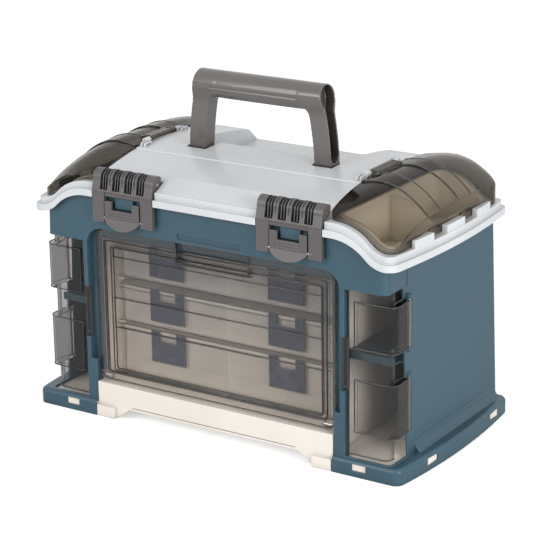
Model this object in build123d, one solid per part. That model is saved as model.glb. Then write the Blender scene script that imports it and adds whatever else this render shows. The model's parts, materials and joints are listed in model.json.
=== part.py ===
from build123d import *
import os
from math import asin, cos, degrees, radians, sin, sqrt, tan

# A large tackle box: a tapered case with two smoky corner doors and a drop-down front door,
# three utility boxes behind it, and a crowned lid with two end covers, two draw latches and a
# folding handle. Millimetres, +X right, front towards -Y, +Z up, origin under the middle.

# Overall sizes: over the foot flange, and over the lid rim from front to back
CASE_WIDTH = 595.0
LID_DEPTH = 311.0
SIDE_BOW = 11.0
WALL = 3.0
RUN_GAP = 0.05
SEAT_GAP = 0.3

# Foot flange, with a hollow cove up to the side walls
FLANGE_INSET = 3.5
FLANGE_RADIUS = 12.0
FLANGE_HEIGHT = 22.0
FLANGE_ROUND = 6.0
COVE_RADIUS = 15.0
COVE_WIDTH = 8.0
COVE_START = 12.0

# Tapered case walls, from the edges of the flange and the lid
SIDE_INSET = 24.5
SIDE_TAPER = 2.0
BODY_FRONT_INSET = 9.5
BODY_BACK_INSET = 6.0
BODY_RADIUS = 10.0
SEAM_BEHIND = 49.0
SEAM_WIDTH = 10.0
SEAM_DEPTH = 1.0

# S-shaped shoulder line that the lid rim follows at both ends
RIM_LOW = 314.0
SHOULDER_INSET = 107.5
SHOULDER_DROP = 32.3
SHOULDER_ANGLE = 45.0
SHOULDER_FOOT_RADIUS = 40.0

# Door opening in the front wall
OPENING_HALF = 198.0
OPENING_TOP = 268.0
OPENING_RADIUS = 25.0
COLUMN_WIDTH = 6.0
POST_TOP = 80.0
RECESS_DEPTH = 10.0
BAY_HALF = 181.0
BAY_LOW = 49.0
BAY_TOP = 250.0
BAY_HOLE_TOP = 256.0
SURROUND_THICK = 3.0
BAND_NOTCH_HALF = 49.5
BAND_NOTCH_LOW = 271.5
BAND_NOTCH_HIGH = 280.0
BAND_NOTCH_DEPTH = 2.4

# Front door
DOOR_HALF = 187.5
DOOR_LOW = 52.5
DOOR_TOP = 266.0
DOOR_RADIUS = 15.0
DOOR_BEHIND = 7.0
DOOR_WALL = 2.5
DOOR_STEP_EDGE = 13.0
DOOR_STEP_DEPTH = 3.0
DOOR_STEP_RADIUS = 4.0
DOOR_PANEL_EDGE = 22.0
DOOR_PANEL_LOW = 66.0
DOOR_PANEL_TOP = 241.0
DOOR_PANEL_DEPTH = 8.5
DOOR_PANEL_RADIUS = 3.0
DOOR_BAND_STEP = 1.5
GRIP_POCKET_HALF = 57.0
GRIP_POCKET_LOW = 238.0
GRIP_POCKET_DEPTH = 6.0
DOOR_HINGE_BEHIND = 3.0
DOOR_HINGE_Z = 57.0
DOOR_PIN_RADIUS = 2.0
DOOR_KNUCKLE_RADIUS = 3.6
DOOR_KNUCKLE_LENGTH = 12.0
DOOR_PIN_BITE = 5.0
DOOR_SWEEP_TOP = 63.0

# Horizontal levels shared by the corner doors and the bands on the front door
CORNER_LOW = 24.0
LOWER_WINDOW_LOW = 56.0
LOWER_WINDOW_HIGH = 127.0
UPPER_WINDOW_LOW = 169.0
UPPER_WINDOW_HIGH = 231.0
CORNER_HIGH = 246.0

# Corner doors: upright, set back from the columns, with windows that stand out sideways
CORNER_BEHIND = 8.0
CORNER_SIDE_INSET = 33.0
CORNER_WALL = 2.5
CORNER_ROUND = 11.0
CORNER_SHORT_LEG = 14.0
CORNER_CUT_DEPTH = 34.0
CORNER_GAP = 1.5
WINDOW_BULGE = 9.0
WINDOW_STEP = 1.2
WINDOW_CUT_GAP = 1.0
CORNER_PIN_RADIUS = 1.5
CORNER_KNUCKLE_RADIUS = 3.5
CLIP_HEIGHT = 6.0
CATCH_LOW = 112.0
CATCH_HIGH = 182.0
CATCH_WIDTH = 10.0
CATCH_LAP = 2.0
CATCH_TRAVEL = 6.0
CATCH_THICK = 2.7
CATCH_GRIP_DEPTH = 1.2
CATCH_GRIP_EDGE = 2.0

# Base plate
PLATE_LOW = 16.0
BASE_BAND_AHEAD = 1.0
BASE_BAND_THICK = 3.0
BASE_BAND_HALF = 187.0
FOOT_INNER = 158.0
FOOT_HEIGHT = 16.0
ARCH_SHOULDER = 130.0
ARCH_RISE = 20.0
TAB_HEIGHT = 9.0
TAB_LOW = 8.0
TAB_INSET = 1.3
FRONT_TAB_X = 228.0
FRONT_TAB_WIDTH = 20.0
SIDE_TAB_Y = (-76.0, 98.0)
SIDE_TAB_WIDTH = 24.0

# Utility boxes, from the bottom one up: bottom level and height
BOX_LEVELS = (49.0, 127.0, 190.0)
BOX_HEIGHTS = (74.0, 54.0, 54.0)
BOX_WIDTH = 356.0
BOX_DEPTH = 230.0
BOX_BEHIND = 40.0
BOX_RADIUS = 12.0
BOX_WALL = 1.8
BOX_LID_SKIRT = 6.0
BOX_LID_THICK = 1.6
BOX_DIVIDERS = 3
BOX_RIM = 3.0
BOX_LATCH_X = 94.6
BOX_LATCH_WIDTH = 54.0
BOX_LATCH_HEIGHT = 45.0
BOX_LATCH_THICK = 3.2
BOX_EAR_WIDTH = 13.0
BOX_EAR_HEIGHT = 15.0
RAIL_THICK = 2.5
RAIL_REACH = 12.0

# Lid: rim, crown line and the handle's recess
LID_INSET = 7.5
LID_RADIUS = 16.0
RIM_STEP_HIGH = 9.0
RIM_HIGH = 18.3
RIM_STEP_IN = 5.0
BODY_EDGE_LAP = 2.7
CROWN_SIDE_INSET = 122.0
CROWN_FRONT_INSET = 37.5
CROWN_FRONT_Z = 346.5
CROWN_TOP = (10.0, 363.0)
CROWN_REAR_INSET = 27.5
CROWN_REAR_Z = 351.5
CROWN_FOOT_INSET = 6.5
CROWN_FRONT_FOOT_Z = 332.0
CROWN_REAR_FOOT_Z = 333.5
CROWN_REAR_ROUND = 8.0
CROWN_LINE_Y = 57.0
CROWN_LINE_STEP = 0.8
RECESS_SIDE_GAP = 3.5
RECESS_START_Y = 8.0
RECESS_FLOOR_Y = 66.0
RECESS_FLOOR_Z = 333.0
LEG_SLOT_GAP = 3.5
LEG_SLOT_FRONT_GAP = 4.5
LEG_SLOT_LOW = 334.5

# Lid hinge at the rear
LID_BARREL_RADIUS = 5.0
LID_PIN_RADIUS = 2.0
LID_HINGE_OUT = 0.5
LID_HINGE_Z = 316.0
LID_HINGE_X = 150.0
CASE_KNUCKLE = 30.0
LID_KNUCKLE = 14.0
KNUCKLE_GAP = 0.5
BRACKET_HEIGHT = 26.0

# End covers and bins
COVER_GAP = 1.5
COVER_LENGTH = 96.6
COVER_END_INSET = 13.5
COVER_CORNER = 18.0
COVER_GRID = 12
COVER_WALL = 2.5
COVER_SPINE = ((0.0, 362.4), (29.0, 366.0), (49.0, 362.5), (66.0, 354.5), (83.0, 342.5), (98.0, 328.0))
COVER_REAR_DROP = 7.0
COVER_BAND_INNER = 25.0
COVER_BAND_OUTER = 57.0
COVER_BAND_RISE = 1.6
COVER_TAB_LOW = 302.0
COVER_TAB_HIGH = 312.0
COVER_TAB_OUT = 3.0
COVER_HINGE_INSET = 2.5
COVER_HINGE_Z = 365.5
COVER_TONGUE = 60.0
TONGUE_REACH = 13.0
COVER_KNUCKLE = 11.0
COVER_BARREL_RADIUS = 3.6
COVER_PIN_RADIUS = 1.5
CATCH_BLOCK_GAP = 1.6
CATCH_BLOCK_THICK = 8.3
CATCH_BLOCK_HIGH = 310.0
CATCH_BLOCKS = ((-101.0, -58.5), (-23.5, 23.5), (58.5, 101.0))
BIN_INNER_INSET = 7.0
BIN_OUTER_INSET = 15.6
BIN_END_INSET = 29.5
BIN_RADIUS = 14.0
BIN_LOW = 268.0
BIN_WALL = 2.0
BIN_LIP = 3.0
BIN_LIP_THICK = 2.0

# Handle
GRIP_RADIUS = 18.5
GRIP_Z = 450.5
GRIP_Y = -11.0
GRIP_HALF_TOP = 100.0
LEG_WIDTH_FOOT = 25.5
LEG_INNER_FOOT = 86.0
LEG_INNER_TOP = 73.0
LEG_BOW = 3.0
LEG_DEPTH = 23.0
CHANNEL_DEPTH = 14.0
CHANNEL_EDGE = 2.2
CHANNEL_RISE = 15.0
GRIP_END_ROUND = 4.0
HANDLE_PIVOT_Z = 350.0
HANDLE_PIN_RADIUS = 3.0
GRIP_INSERT_HALF = 56.0
GRIP_INSERT_WIDTH = 20.0
GRIP_INSERT_THICK = 3.0

# Draw latches, placed from the front wall of the case
LATCH_X = 129.0
LATCH_HALF = 48.0
LATCH_PIN_BEHIND = 5.0
LATCH_PIN_Z = 340.0
LATCH_ARCH_RADIUS = 12.0
LATCH_BORE_RADIUS = 8.5
LATCH_SKIN_RADIUS = 7.0
LATCH_REACH = 10.5
LATCH_LOW = 282.0
LATCH_PLATE = 4.0
LATCH_CHEEK_GAP = 2.6
LATCH_REAR_ANGLE = 42.0
LATCH_SLOT_REAR_ANGLE = 58.0
LATCH_SLOT_LOW = 326.5
LATCH_SLOT_FLOOR = 2.0
LATCH_SLOT_PITCH = 19.6
LATCH_SLOT_WIDTH = 12.6
LATCH_SLOTS = 4
LATCH_BAR_RISE = 4.5
WINDOW_HALF = 29.5
WINDOW_TOP = 318.0
LATCH_PIN_RADIUS = 2.0
LATCH_POCKET_RADIUS = 13.0
LATCH_NOTCH_HALF = 49.5
LATCH_NOTCH_GAP = 1.8
LUG_RADIUS = 5.5
LUG_WEB = 5.0
LUG_SIDE_GAP = 2.2
CATCH_HALF = 14.6
CATCH_BLOCK_LOW = 302.0
CATCH_BLOCK_TOP = 316.0
CATCH_BLOCK_REACH = 5.0

# Latch levers, placed from the front wall of the case
LEVER_HALF = 27.5
LEVER_GAP_HALF = 16.8
LEVER_ARM_TOP = 312.0
LEVER_SILL = 300.5
LEVER_TAB_START = 286.0
LEVER_TAB_LOW = 274.5
LEVER_TAB_REACH = 4.0
LEVER_BACK_GAP = 5.6
LEVER_ARM_GAP = 7.0
LEVER_REACH = 11.0
LEVER_PIVOT_GAP = 8.5
LEVER_PIVOT_Z = 288.5
LEVER_PIN_RADIUS = 1.5
LEVER_PIN_BITE = 6.0
LEVER_RIBS = 3
LEVER_RIB_PITCH = 3.6
LEVER_RIB_HIGH = 0.8

# Inside walls
BAY_WALL_THICK = 3.0
FLOOR_THICK = 3.0
SHELF_LEVEL = 147.0
SHELF_THICK = 2.5
SHELF_SETBACK = 3.0
SHELF_LIP = 10.0

# Sizes that follow from the ones above
HALF_WIDTH = CASE_WIDTH / 2
HALF_LID_DEPTH = LID_DEPTH / 2
LID_WIDTH = CASE_WIDTH - 2 * LID_INSET
FLANGE_DEPTH = LID_DEPTH - 2 * FLANGE_INSET
SIDE_HALF_LOW = HALF_WIDTH - SIDE_INSET
BODY_FRONT = BODY_FRONT_INSET - HALF_LID_DEPTH
BODY_BACK = HALF_LID_DEPTH - BODY_BACK_INSET
SEAM_Y = BODY_FRONT + SEAM_BEHIND
SHOULDER_START = HALF_WIDTH - SHOULDER_INSET
TAPER_SLOPE = tan(radians(SIDE_TAPER))
PLATE_TOP = FLANGE_HEIGHT - WALL
BODY_EDGE = RIM_LOW + BODY_EDGE_LAP
RIM_TOP = RIM_LOW + RIM_HIGH
TOP_LIMIT = GRIP_Z + 2 * GRIP_RADIUS
SURROUND_BACK = BODY_FRONT + RECESS_DEPTH + SURROUND_THICK
COLUMN_OUTER = OPENING_HALF + COLUMN_WIDTH
DOOR_FRONT = BODY_FRONT + DOOR_BEHIND
DOOR_HINGE_Y = DOOR_FRONT + DOOR_HINGE_BEHIND
DOOR_PIVOT_RISE = DOOR_HINGE_Z - DOOR_LOW
CORNER_FRONT = BODY_FRONT + CORNER_BEHIND
CORNER_SIDE = HALF_WIDTH - CORNER_SIDE_INSET
CORNER_INNER_EDGE = COLUMN_OUTER + CORNER_GAP
CORNER_SHORT_LEG_Y = CORNER_FRONT + CORNER_SHORT_LEG
CORNER_CUT_BACK = CORNER_FRONT + CORNER_CUT_DEPTH
WINDOW_SIDE = CORNER_SIDE + WINDOW_BULGE
WINDOW_CUT_BACK = SEAM_Y + CORNER_KNUCKLE_RADIUS + WINDOW_CUT_GAP
CORNER_HINGE_X = WINDOW_SIDE - CORNER_KNUCKLE_RADIUS
CATCH_OUTER = CORNER_INNER_EDGE + CATCH_LAP
CATCH_INNER = CATCH_OUTER - CATCH_WIDTH
WINDOW_INNER = CATCH_OUTER + CATCH_TRAVEL + CORNER_GAP
BASE_BAND_FRONT = BODY_FRONT - BASE_BAND_AHEAD
BOX_FRONT = BODY_FRONT + BOX_BEHIND
BOX_BACK = BOX_FRONT + BOX_DEPTH
SHELF_FRONT = CORNER_SHORT_LEG_Y + SHELF_SETBACK
CROWN_HALF = HALF_WIDTH - CROWN_SIDE_INSET
CROWN_FRONT = (CROWN_FRONT_INSET - HALF_LID_DEPTH, CROWN_FRONT_Z)
CROWN_REAR = (HALF_LID_DEPTH - CROWN_REAR_INSET, CROWN_REAR_Z)
CROWN_FRONT_FOOT = (CROWN_FOOT_INSET - HALF_LID_DEPTH, CROWN_FRONT_FOOT_Z)
CROWN_REAR_FOOT = (HALF_LID_DEPTH - CROWN_FOOT_INSET, CROWN_REAR_FOOT_Z)
LID_HINGE_Y = HALF_LID_DEPTH + LID_HINGE_OUT
COVER_INNER = CROWN_HALF + COVER_GAP
COVER_OUTER = COVER_INNER + COVER_LENGTH
COVER_FRONT = COVER_END_INSET - HALF_LID_DEPTH
COVER_BACK = HALF_LID_DEPTH - COVER_END_INSET
COVER_HINGE_X = CROWN_HALF - COVER_HINGE_INSET
TONGUE_END = COVER_INNER + TONGUE_REACH
CATCH_BLOCK_IN = COVER_OUTER + CATCH_BLOCK_GAP
CATCH_BLOCK_OUT = CATCH_BLOCK_IN + CATCH_BLOCK_THICK
BIN_INNER = COVER_INNER + BIN_INNER_INSET
BIN_OUTER = COVER_OUTER - BIN_OUTER_INSET
BIN_FRONT = BIN_END_INSET - HALF_LID_DEPTH
BIN_BACK = HALF_LID_DEPTH - BIN_END_INSET
LEG_OUTER_FOOT = LEG_INNER_FOOT + LEG_WIDTH_FOOT
HANDLE_PIVOT_Y = GRIP_Y
LEG_FRONT = GRIP_Y - LEG_DEPTH / 2
LEG_BACK = GRIP_Y + LEG_DEPTH / 2
RECESS_HALF = LEG_OUTER_FOOT + RECESS_SIDE_GAP
LEG_SLOT_INNER = LEG_INNER_FOOT - LEG_SLOT_GAP
LEG_SLOT_FRONT = LEG_FRONT - LEG_SLOT_FRONT_GAP
LATCH_PIN_Y = BODY_FRONT + LATCH_PIN_BEHIND
LATCH_PIVOT = (LATCH_PIN_Y, LATCH_PIN_Z)
LATCH_FRONT_LOW = BODY_FRONT - LATCH_REACH
LATCH_CHEEK_BACK = BODY_FRONT - LATCH_CHEEK_GAP
LATCH_NOTCH_BACK = BODY_FRONT - LATCH_NOTCH_GAP
CATCH_BLOCK_FRONT = BODY_FRONT - CATCH_BLOCK_REACH
LEVER_BACK = BODY_FRONT - LEVER_BACK_GAP
LEVER_ARM_BACK = BODY_FRONT - LEVER_ARM_GAP
LEVER_FRONT = BODY_FRONT - LEVER_REACH
LEVER_PIVOT_Y = BODY_FRONT - LEVER_PIVOT_GAP
FRONT_REACH = LEVER_TAB_REACH - LEVER_FRONT
WINDOWS = ((LOWER_WINDOW_LOW, LOWER_WINDOW_HIGH), (UPPER_WINDOW_LOW, UPPER_WINDOW_HIGH))





def block(x0, x1, y0, y1, z0, z1):
    """A box given by its two corners."""
    middle = Pos((x0 + x1) / 2, (y0 + y1) / 2, (z0 + z1) / 2)
    return middle * Box(x1 - x0, y1 - y0, z1 - z0)


def plan_prism(width, depth, radius, z0, z1, x_mid=0.0, y_mid=0.0):
    """An upright prism on a rounded rectangle."""
    return Pos(x_mid, y_mid, z0) * extrude(RectangleRounded(width, depth, radius), z1 - z0)


def bowed_half(width, depth, bow, y):
    """Half the width at y of a plan whose ends bow outwards."""
    radius = ((depth / 2) ** 2 + bow ** 2) / (2 * bow)
    return width / 2 - radius + sqrt(radius ** 2 - y ** 2)


def bowed_plan(width, depth, radius, inset, z0, z1):
    """An upright prism on a rounded rectangle with bowed ends, drawn in by inset."""
    half_x, half_y = width / 2 - SIDE_BOW - inset, depth / 2 - inset
    edges = [Line((-half_x, half_y), (half_x, half_y)), Line((half_x, -half_y), (-half_x, -half_y))]
    for side in (1, -1):
        middle = (side * (half_x + SIDE_BOW), 0)
        edges.append(ThreePointArc((side * half_x, half_y), middle, (side * half_x, -half_y)))
    face = make_face(edges)
    return Pos(0, 0, z0) * extrude(fillet(face.vertices(), radius - inset), z1 - z0, dir=(0, 0, 1))


def side_prism(face, x0, x1):
    """A prism along X on a face drawn in (Y, Z)."""
    return extrude(Plane.YZ.offset(x0) * face, x1 - x0)


def front_prism(face, y0, y1):
    """A prism along Y on a face drawn in (X, Z)."""
    return extrude(Plane.XZ.offset(-y1) * face, y1 - y0)


def polygon(*points):
    """A flat face with straight sides."""
    return make_face(Polyline(*points, close=True))


def rod_x(radius, x0, x1, y, z):
    """A round rod along X."""
    return Pos((x0 + x1) / 2, y, z) * Rot(0, 90, 0) * Cylinder(radius, x1 - x0)


def rod_y(radius, y0, y1, x, z):
    """A round rod along Y."""
    return Pos(x, (y0 + y1) / 2, z) * Rot(90, 0, 0) * Cylinder(radius, y1 - y0)


def mirrored(shape):
    """The left-hand twin of a right-hand piece."""
    return mirror(shape, about=Plane.YZ)


def polar(centre, radius, angle):
    """A point at an angle in degrees round a centre."""
    return (centre[0] + radius * cos(radians(angle)), centre[1] + radius * sin(radians(angle)))


def shoulder_face(z_top, z_low, half_width):
    """The region under the S-shaped shoulder line, in (X, Z)."""
    turn = radians(SHOULDER_ANGLE)
    foot = SHOULDER_FOOT_RADIUS
    crown = SHOULDER_DROP / (1 - cos(turn)) - foot
    x_turn = SHOULDER_START + crown * sin(turn)
    z_turn = z_top - crown * (1 - cos(turn))
    x_end = x_turn + foot * sin(turn)
    z_end = z_top - SHOULDER_DROP
    x_upper, z_upper = SHOULDER_START + crown * sin(turn / 2), z_top - crown * (1 - cos(turn / 2))
    x_lower, z_lower = x_end - foot * sin(turn / 2), z_end + foot * (1 - cos(turn / 2))
    edges = [Line((-SHOULDER_START, z_top), (SHOULDER_START, z_top))]
    for side in (1, -1):
        edge, turning = (side * SHOULDER_START, z_top), (side * x_turn, z_turn)
        end, corner = (side * x_end, z_end), (side * half_width, z_end)
        edges.append(ThreePointArc(edge, (side * x_upper, z_upper), turning))
        edges.append(ThreePointArc(turning, (side * x_lower, z_lower), end))
        edges.append(Line(end, corner))
        edges.append(Line(corner, (side * half_width, z_low)))
    edges.append(Line((half_width, z_low), (-half_width, z_low)))
    return make_face(edges)


def under_shoulder(z_top, z_low=0.0):
    """Everything under the shoulder line that crests at z_top."""
    return front_prism(shoulder_face(z_top, z_low, CASE_WIDTH), -CASE_WIDTH, CASE_WIDTH)


def side_half(z):
    """Half the width of the tapered case at a level."""
    return SIDE_HALF_LOW - (z - FLANGE_HEIGHT) * TAPER_SLOPE


def case_block(inset, z0, z1):
    """The tapered case outline, drawn in by inset all round."""
    low, high = side_half(z0) - inset, side_half(z1) - inset
    face = polygon((-low, z0), (low, z0), (high, z1), (-high, z1))
    solid = front_prism(face, BODY_FRONT + inset, BODY_BACK - inset)
    uprights = [edge for edge in solid.edges() if abs(edge.tangent_at(0.5).Z) > 0.9]
    return fillet(uprights, BODY_RADIUS - inset)


def corner_clips():
    """Hinge barrels of the case just above and below each window of the right corner door."""
    radius = CORNER_KNUCKLE_RADIUS
    clips = []
    for low, high in WINDOWS:
        for start in (low - CORNER_GAP - CLIP_HEIGHT, high + CORNER_GAP):
            end = start + CLIP_HEIGHT
            clip = Pos(CORNER_HINGE_X, SEAM_Y, (start + end) / 2) * Cylinder(radius, CLIP_HEIGHT)
            clips.append(clip + block(
                side_half(start) - WALL, CORNER_HINGE_X, SEAM_Y - radius, SEAM_Y + radius, start, end,
            ))
    return clips


def corner_pin(low, high, radius):
    """A hinge rod through one window barrel and its two clips."""
    length = high - low + 2 * (CLIP_HEIGHT + CORNER_GAP)
    return Pos(CORNER_HINGE_X, SEAM_Y, (low + high) / 2) * Cylinder(radius, length)


def corner_opening():
    """The room cut out of the right front corner for its door, and the catch's notch in the column."""
    far = CASE_WIDTH
    gap = CORNER_GAP
    cut = block(COLUMN_OUTER, far, -far, CORNER_CUT_BACK, CORNER_LOW - gap, CORNER_HIGH + gap)
    for low, high in WINDOWS:
        cut += block(COLUMN_OUTER, far, CORNER_SHORT_LEG_Y, WINDOW_CUT_BACK, low - gap, high + gap)
    return cut + block(
        CATCH_INNER - gap, COLUMN_OUTER + WALL, BODY_FRONT - WALL, CORNER_FRONT + KNUCKLE_GAP,
        CATCH_LOW - gap, CATCH_HIGH + gap,
    )


def door_surround():
    """The stepped frame that the front door closes into, with its columns and hinge posts."""
    skin = BODY_FRONT + WALL
    frame = block(-COLUMN_OUTER, COLUMN_OUTER, skin, SURROUND_BACK, PLATE_TOP, OPENING_TOP + WALL)
    for side in (1, -1):
        x0, x1 = sorted((side * OPENING_HALF, side * COLUMN_OUTER))
        frame += block(x0, x1, BODY_FRONT, skin, FLANGE_HEIGHT, OPENING_TOP)
    ahead, recess = BODY_FRONT - WALL, BODY_FRONT + RECESS_DEPTH
    upper = block(-OPENING_HALF, OPENING_HALF, ahead, recess, POST_TOP, OPENING_TOP)
    top_edges = upper.edges().filter_by(Axis.Y).group_by(Axis.Z)[-1]
    upper = fillet(top_edges, OPENING_RADIUS)
    half = DOOR_HALF + CORNER_GAP / 2
    lower = block(-half, half, ahead, recess, -WALL, POST_TOP)
    back = SURROUND_BACK + WALL
    bay = block(-BAY_HALF, BAY_HALF, BODY_FRONT, back, BAY_LOW, BAY_HOLE_TOP)
    sweep = block(-half, half, BODY_FRONT, back, -WALL, DOOR_SWEEP_TOP)
    pocket_half = GRIP_POCKET_HALF + DOOR_WALL + CORNER_GAP
    pocket = block(-pocket_half, pocket_half, BODY_FRONT, back, BAY_TOP, OPENING_TOP - CORNER_GAP)
    return frame, upper + lower + bay + sweep + pocket


def rear_bracket():
    """One hinge bracket on the back wall, under the lid rim."""
    root_high = LID_HINGE_Z - LID_BARREL_RADIUS
    behind = LID_HINGE_Y + LID_BARREL_RADIUS
    profile = polygon(
        (BODY_BACK, root_high - BRACKET_HEIGHT),
        (BODY_BACK, root_high - WALL),
        (LID_HINGE_Y - LID_PIN_RADIUS, LID_HINGE_Z),
        (behind, LID_HINGE_Z),
        (behind - KNUCKLE_GAP, root_high),
    )
    half = CASE_KNUCKLE / 2
    arm = side_prism(profile, LID_HINGE_X - half, LID_HINGE_X + half)
    barrel = rod_x(LID_BARREL_RADIUS, LID_HINGE_X - half, LID_HINGE_X + half, LID_HINGE_Y, LID_HINGE_Z)
    bore = rod_x(LID_PIN_RADIUS, LID_HINGE_X - half, LID_HINGE_X + half, LID_HINGE_Y, LID_HINGE_Z)
    return arm + barrel - bore


def side_cove():
    """The hollow slope between the right side wall and the flange."""
    wall, low = side_half(FLANGE_HEIGHT), FLANGE_HEIGHT
    rise = sqrt(COVE_RADIUS ** 2 - (COVE_RADIUS - COVE_WIDTH) ** 2)
    centre = (wall + COVE_RADIUS, low + rise)
    sweep = degrees(asin(rise / COVE_RADIUS))
    foot, top = (wall + COVE_WIDTH, low), (wall, low + rise)
    inner = wall - WALL / 2
    face = make_face([
        ThreePointArc(foot, polar(centre, COVE_RADIUS, 180 + sweep / 2), top),
        Line(top, (inner, top[1])),
        Line((inner, top[1]), (inner, low - 1)),
        Line((inner, low - 1), (foot[0], low - 1)),
        Line((foot[0], low - 1), foot),
    ])
    return front_prism(face, SEAM_Y + COVE_START, BODY_BACK - BODY_RADIUS)


def tab_spots():
    """Centres and directions of the base plate's snap tabs in the flange."""
    spots = [(side * FRONT_TAB_X, -FLANGE_DEPTH / 2, FRONT_TAB_WIDTH, "front") for side in (1, -1)]
    for y in SIDE_TAB_Y:
        x = bowed_half(CASE_WIDTH, FLANGE_DEPTH, SIDE_BOW, y)
        spots += [(x, y, SIDE_TAB_WIDTH, "side"), (-x, y, SIDE_TAB_WIDTH, "side")]
    return spots


def tab_block(spot, reach_in, reach_out, slack):
    """A tab, or with slack the slot for it, from inside the flange to its face."""
    x, y, width, face = spot
    half = width / 2 + slack
    low, high = TAB_LOW - slack, TAB_LOW + TAB_HEIGHT + slack
    if face == "front":
        return block(x - half, x + half, y - reach_out, y + reach_in, low, high)
    side = 1 if x > 0 else -1
    x0, x1 = sorted((x - side * reach_in, x + side * reach_out))
    return block(x0, x1, y - half, y + half, low, high)


def body_shell():
    """The case moulding: walls, foot flange, door surround, catch blocks and hinge brackets."""
    far = CASE_WIDTH
    outer = case_block(0, PLATE_TOP, RIM_TOP) & under_shoulder(BODY_EDGE)
    inner = case_block(WALL, PLATE_TOP - WALL, RIM_TOP + WALL)
    shell = outer - inner
    flange = bowed_plan(CASE_WIDTH, FLANGE_DEPTH, FLANGE_RADIUS, 0, 0, FLANGE_HEIGHT)
    flange = fillet(flange.edges().group_by(Axis.Z)[-1], FLANGE_ROUND)
    flange -= bowed_plan(CASE_WIDTH, FLANGE_DEPTH, FLANGE_RADIUS, WALL, -WALL, PLATE_TOP)
    flange -= inner
    shell += flange
    cove = side_cove()
    shell += cove + mirrored(cove)
    surround, cuts = door_surround()
    shell += surround
    shell -= cuts
    gap = BASE_BAND_HALF + CORNER_GAP
    shell -= block(-gap, gap, -far, SURROUND_BACK, -WALL, BAY_LOW)
    opening = corner_opening()
    shell -= opening
    shell -= mirrored(opening)
    for clip in corner_clips():
        shell += clip
        shell += mirrored(clip)
    for low, high in WINDOWS:
        bore = corner_pin(low, high, CORNER_PIN_RADIUS)
        shell -= bore
        shell -= mirrored(bore)
    for side in (1, -1):
        shell += block(
            side * LATCH_X - CATCH_HALF, side * LATCH_X + CATCH_HALF,
            CATCH_BLOCK_FRONT, BODY_FRONT + WALL, CATCH_BLOCK_LOW, CATCH_BLOCK_TOP,
        )
        pin_end = DOOR_HALF + CORNER_GAP / 2 + DOOR_PIN_BITE
        x0, x1 = sorted((side * BAY_HALF, side * pin_end))
        shell -= rod_x(DOOR_PIN_RADIUS, x0, x1, DOOR_HINGE_Y, DOOR_HINGE_Z)
    bracket = rear_bracket()
    shell += bracket + mirrored(bracket)
    shell -= block(
        -BAND_NOTCH_HALF, BAND_NOTCH_HALF, BODY_FRONT - WALL, BODY_FRONT + BAND_NOTCH_DEPTH,
        BAND_NOTCH_LOW, BAND_NOTCH_HIGH,
    )
    skin = case_block(-WALL, CORNER_HIGH, RIM_TOP) - case_block(SEAM_DEPTH, CORNER_HIGH, RIM_TOP)
    half = SEAM_WIDTH / 2
    seam = block(-far, far, SEAM_Y - half, SEAM_Y + half, CORNER_HIGH + CORNER_GAP, RIM_TOP)
    shell -= seam & skin
    for spot in tab_spots():
        shell -= tab_block(spot, 2 * WALL, WALL, SEAT_GAP)
    return shell


def base_plate():
    """The pale bottom plate: floor, arched front band with feet, bay floor and snap tabs."""
    plate = bowed_plan(CASE_WIDTH, FLANGE_DEPTH, FLANGE_RADIUS, WALL + SEAT_GAP, PLATE_LOW, PLATE_TOP)
    gap = BASE_BAND_HALF + CORNER_GAP
    plate -= block(-gap, gap, -FLANGE_DEPTH, BASE_BAND_FRONT, 0, FLANGE_HEIGHT)
    band_top = BAY_LOW - SEAT_GAP
    outline = polygon(
        (-BASE_BAND_HALF, 0), (-FOOT_INNER, 0), (-ARCH_SHOULDER, ARCH_RISE),
        (ARCH_SHOULDER, ARCH_RISE), (FOOT_INNER, 0), (BASE_BAND_HALF, 0),
        (BASE_BAND_HALF, band_top), (-BASE_BAND_HALF, band_top),
    )
    plate += front_prism(outline, BASE_BAND_FRONT, BASE_BAND_FRONT + BASE_BAND_THICK)
    plate += block(
        -BASE_BAND_HALF, BASE_BAND_HALF, BASE_BAND_FRONT, SURROUND_BACK,
        band_top - FLOOR_THICK, band_top,
    )
    floor_back = BODY_BACK - WALL - SEAT_GAP
    floor_half = BAY_HALF - SEAT_GAP
    plate += block(-floor_half, floor_half, BASE_BAND_FRONT, floor_back, band_top - FLOOR_THICK, band_top)
    for side in (1, -1):
        x0, x1 = sorted((side * FOOT_INNER, side * BASE_BAND_HALF))
        plate += block(x0, x1, -FLANGE_DEPTH / 2, BASE_BAND_FRONT + 1, 0, FOOT_HEIGHT)
        x0, x1 = sorted((side * floor_half, side * (floor_half - FLOOR_THICK)))
        plate += block(x0, x1, BASE_BAND_FRONT, floor_back, PLATE_LOW, band_top)
    for spot in tab_spots():
        plate += tab_block(spot, 3 * WALL, -TAB_INSET, 0)
        plate += tab_riser(spot)
    return plate


def tab_riser(spot):
    """The short wall that carries a snap tab down from the plate."""
    x, y, width, face = spot
    half = width / 2
    near, deep = WALL + SEAT_GAP + TAB_INSET, 3 * WALL
    if face == "front":
        return block(x - half, x + half, y + near, y + deep, TAB_LOW, PLATE_TOP)
    side = 1 if x > 0 else -1
    x0, x1 = sorted((x - side * near, x - side * deep))
    return block(x0, x1, y - half, y + half, TAB_LOW, PLATE_TOP)


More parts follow.
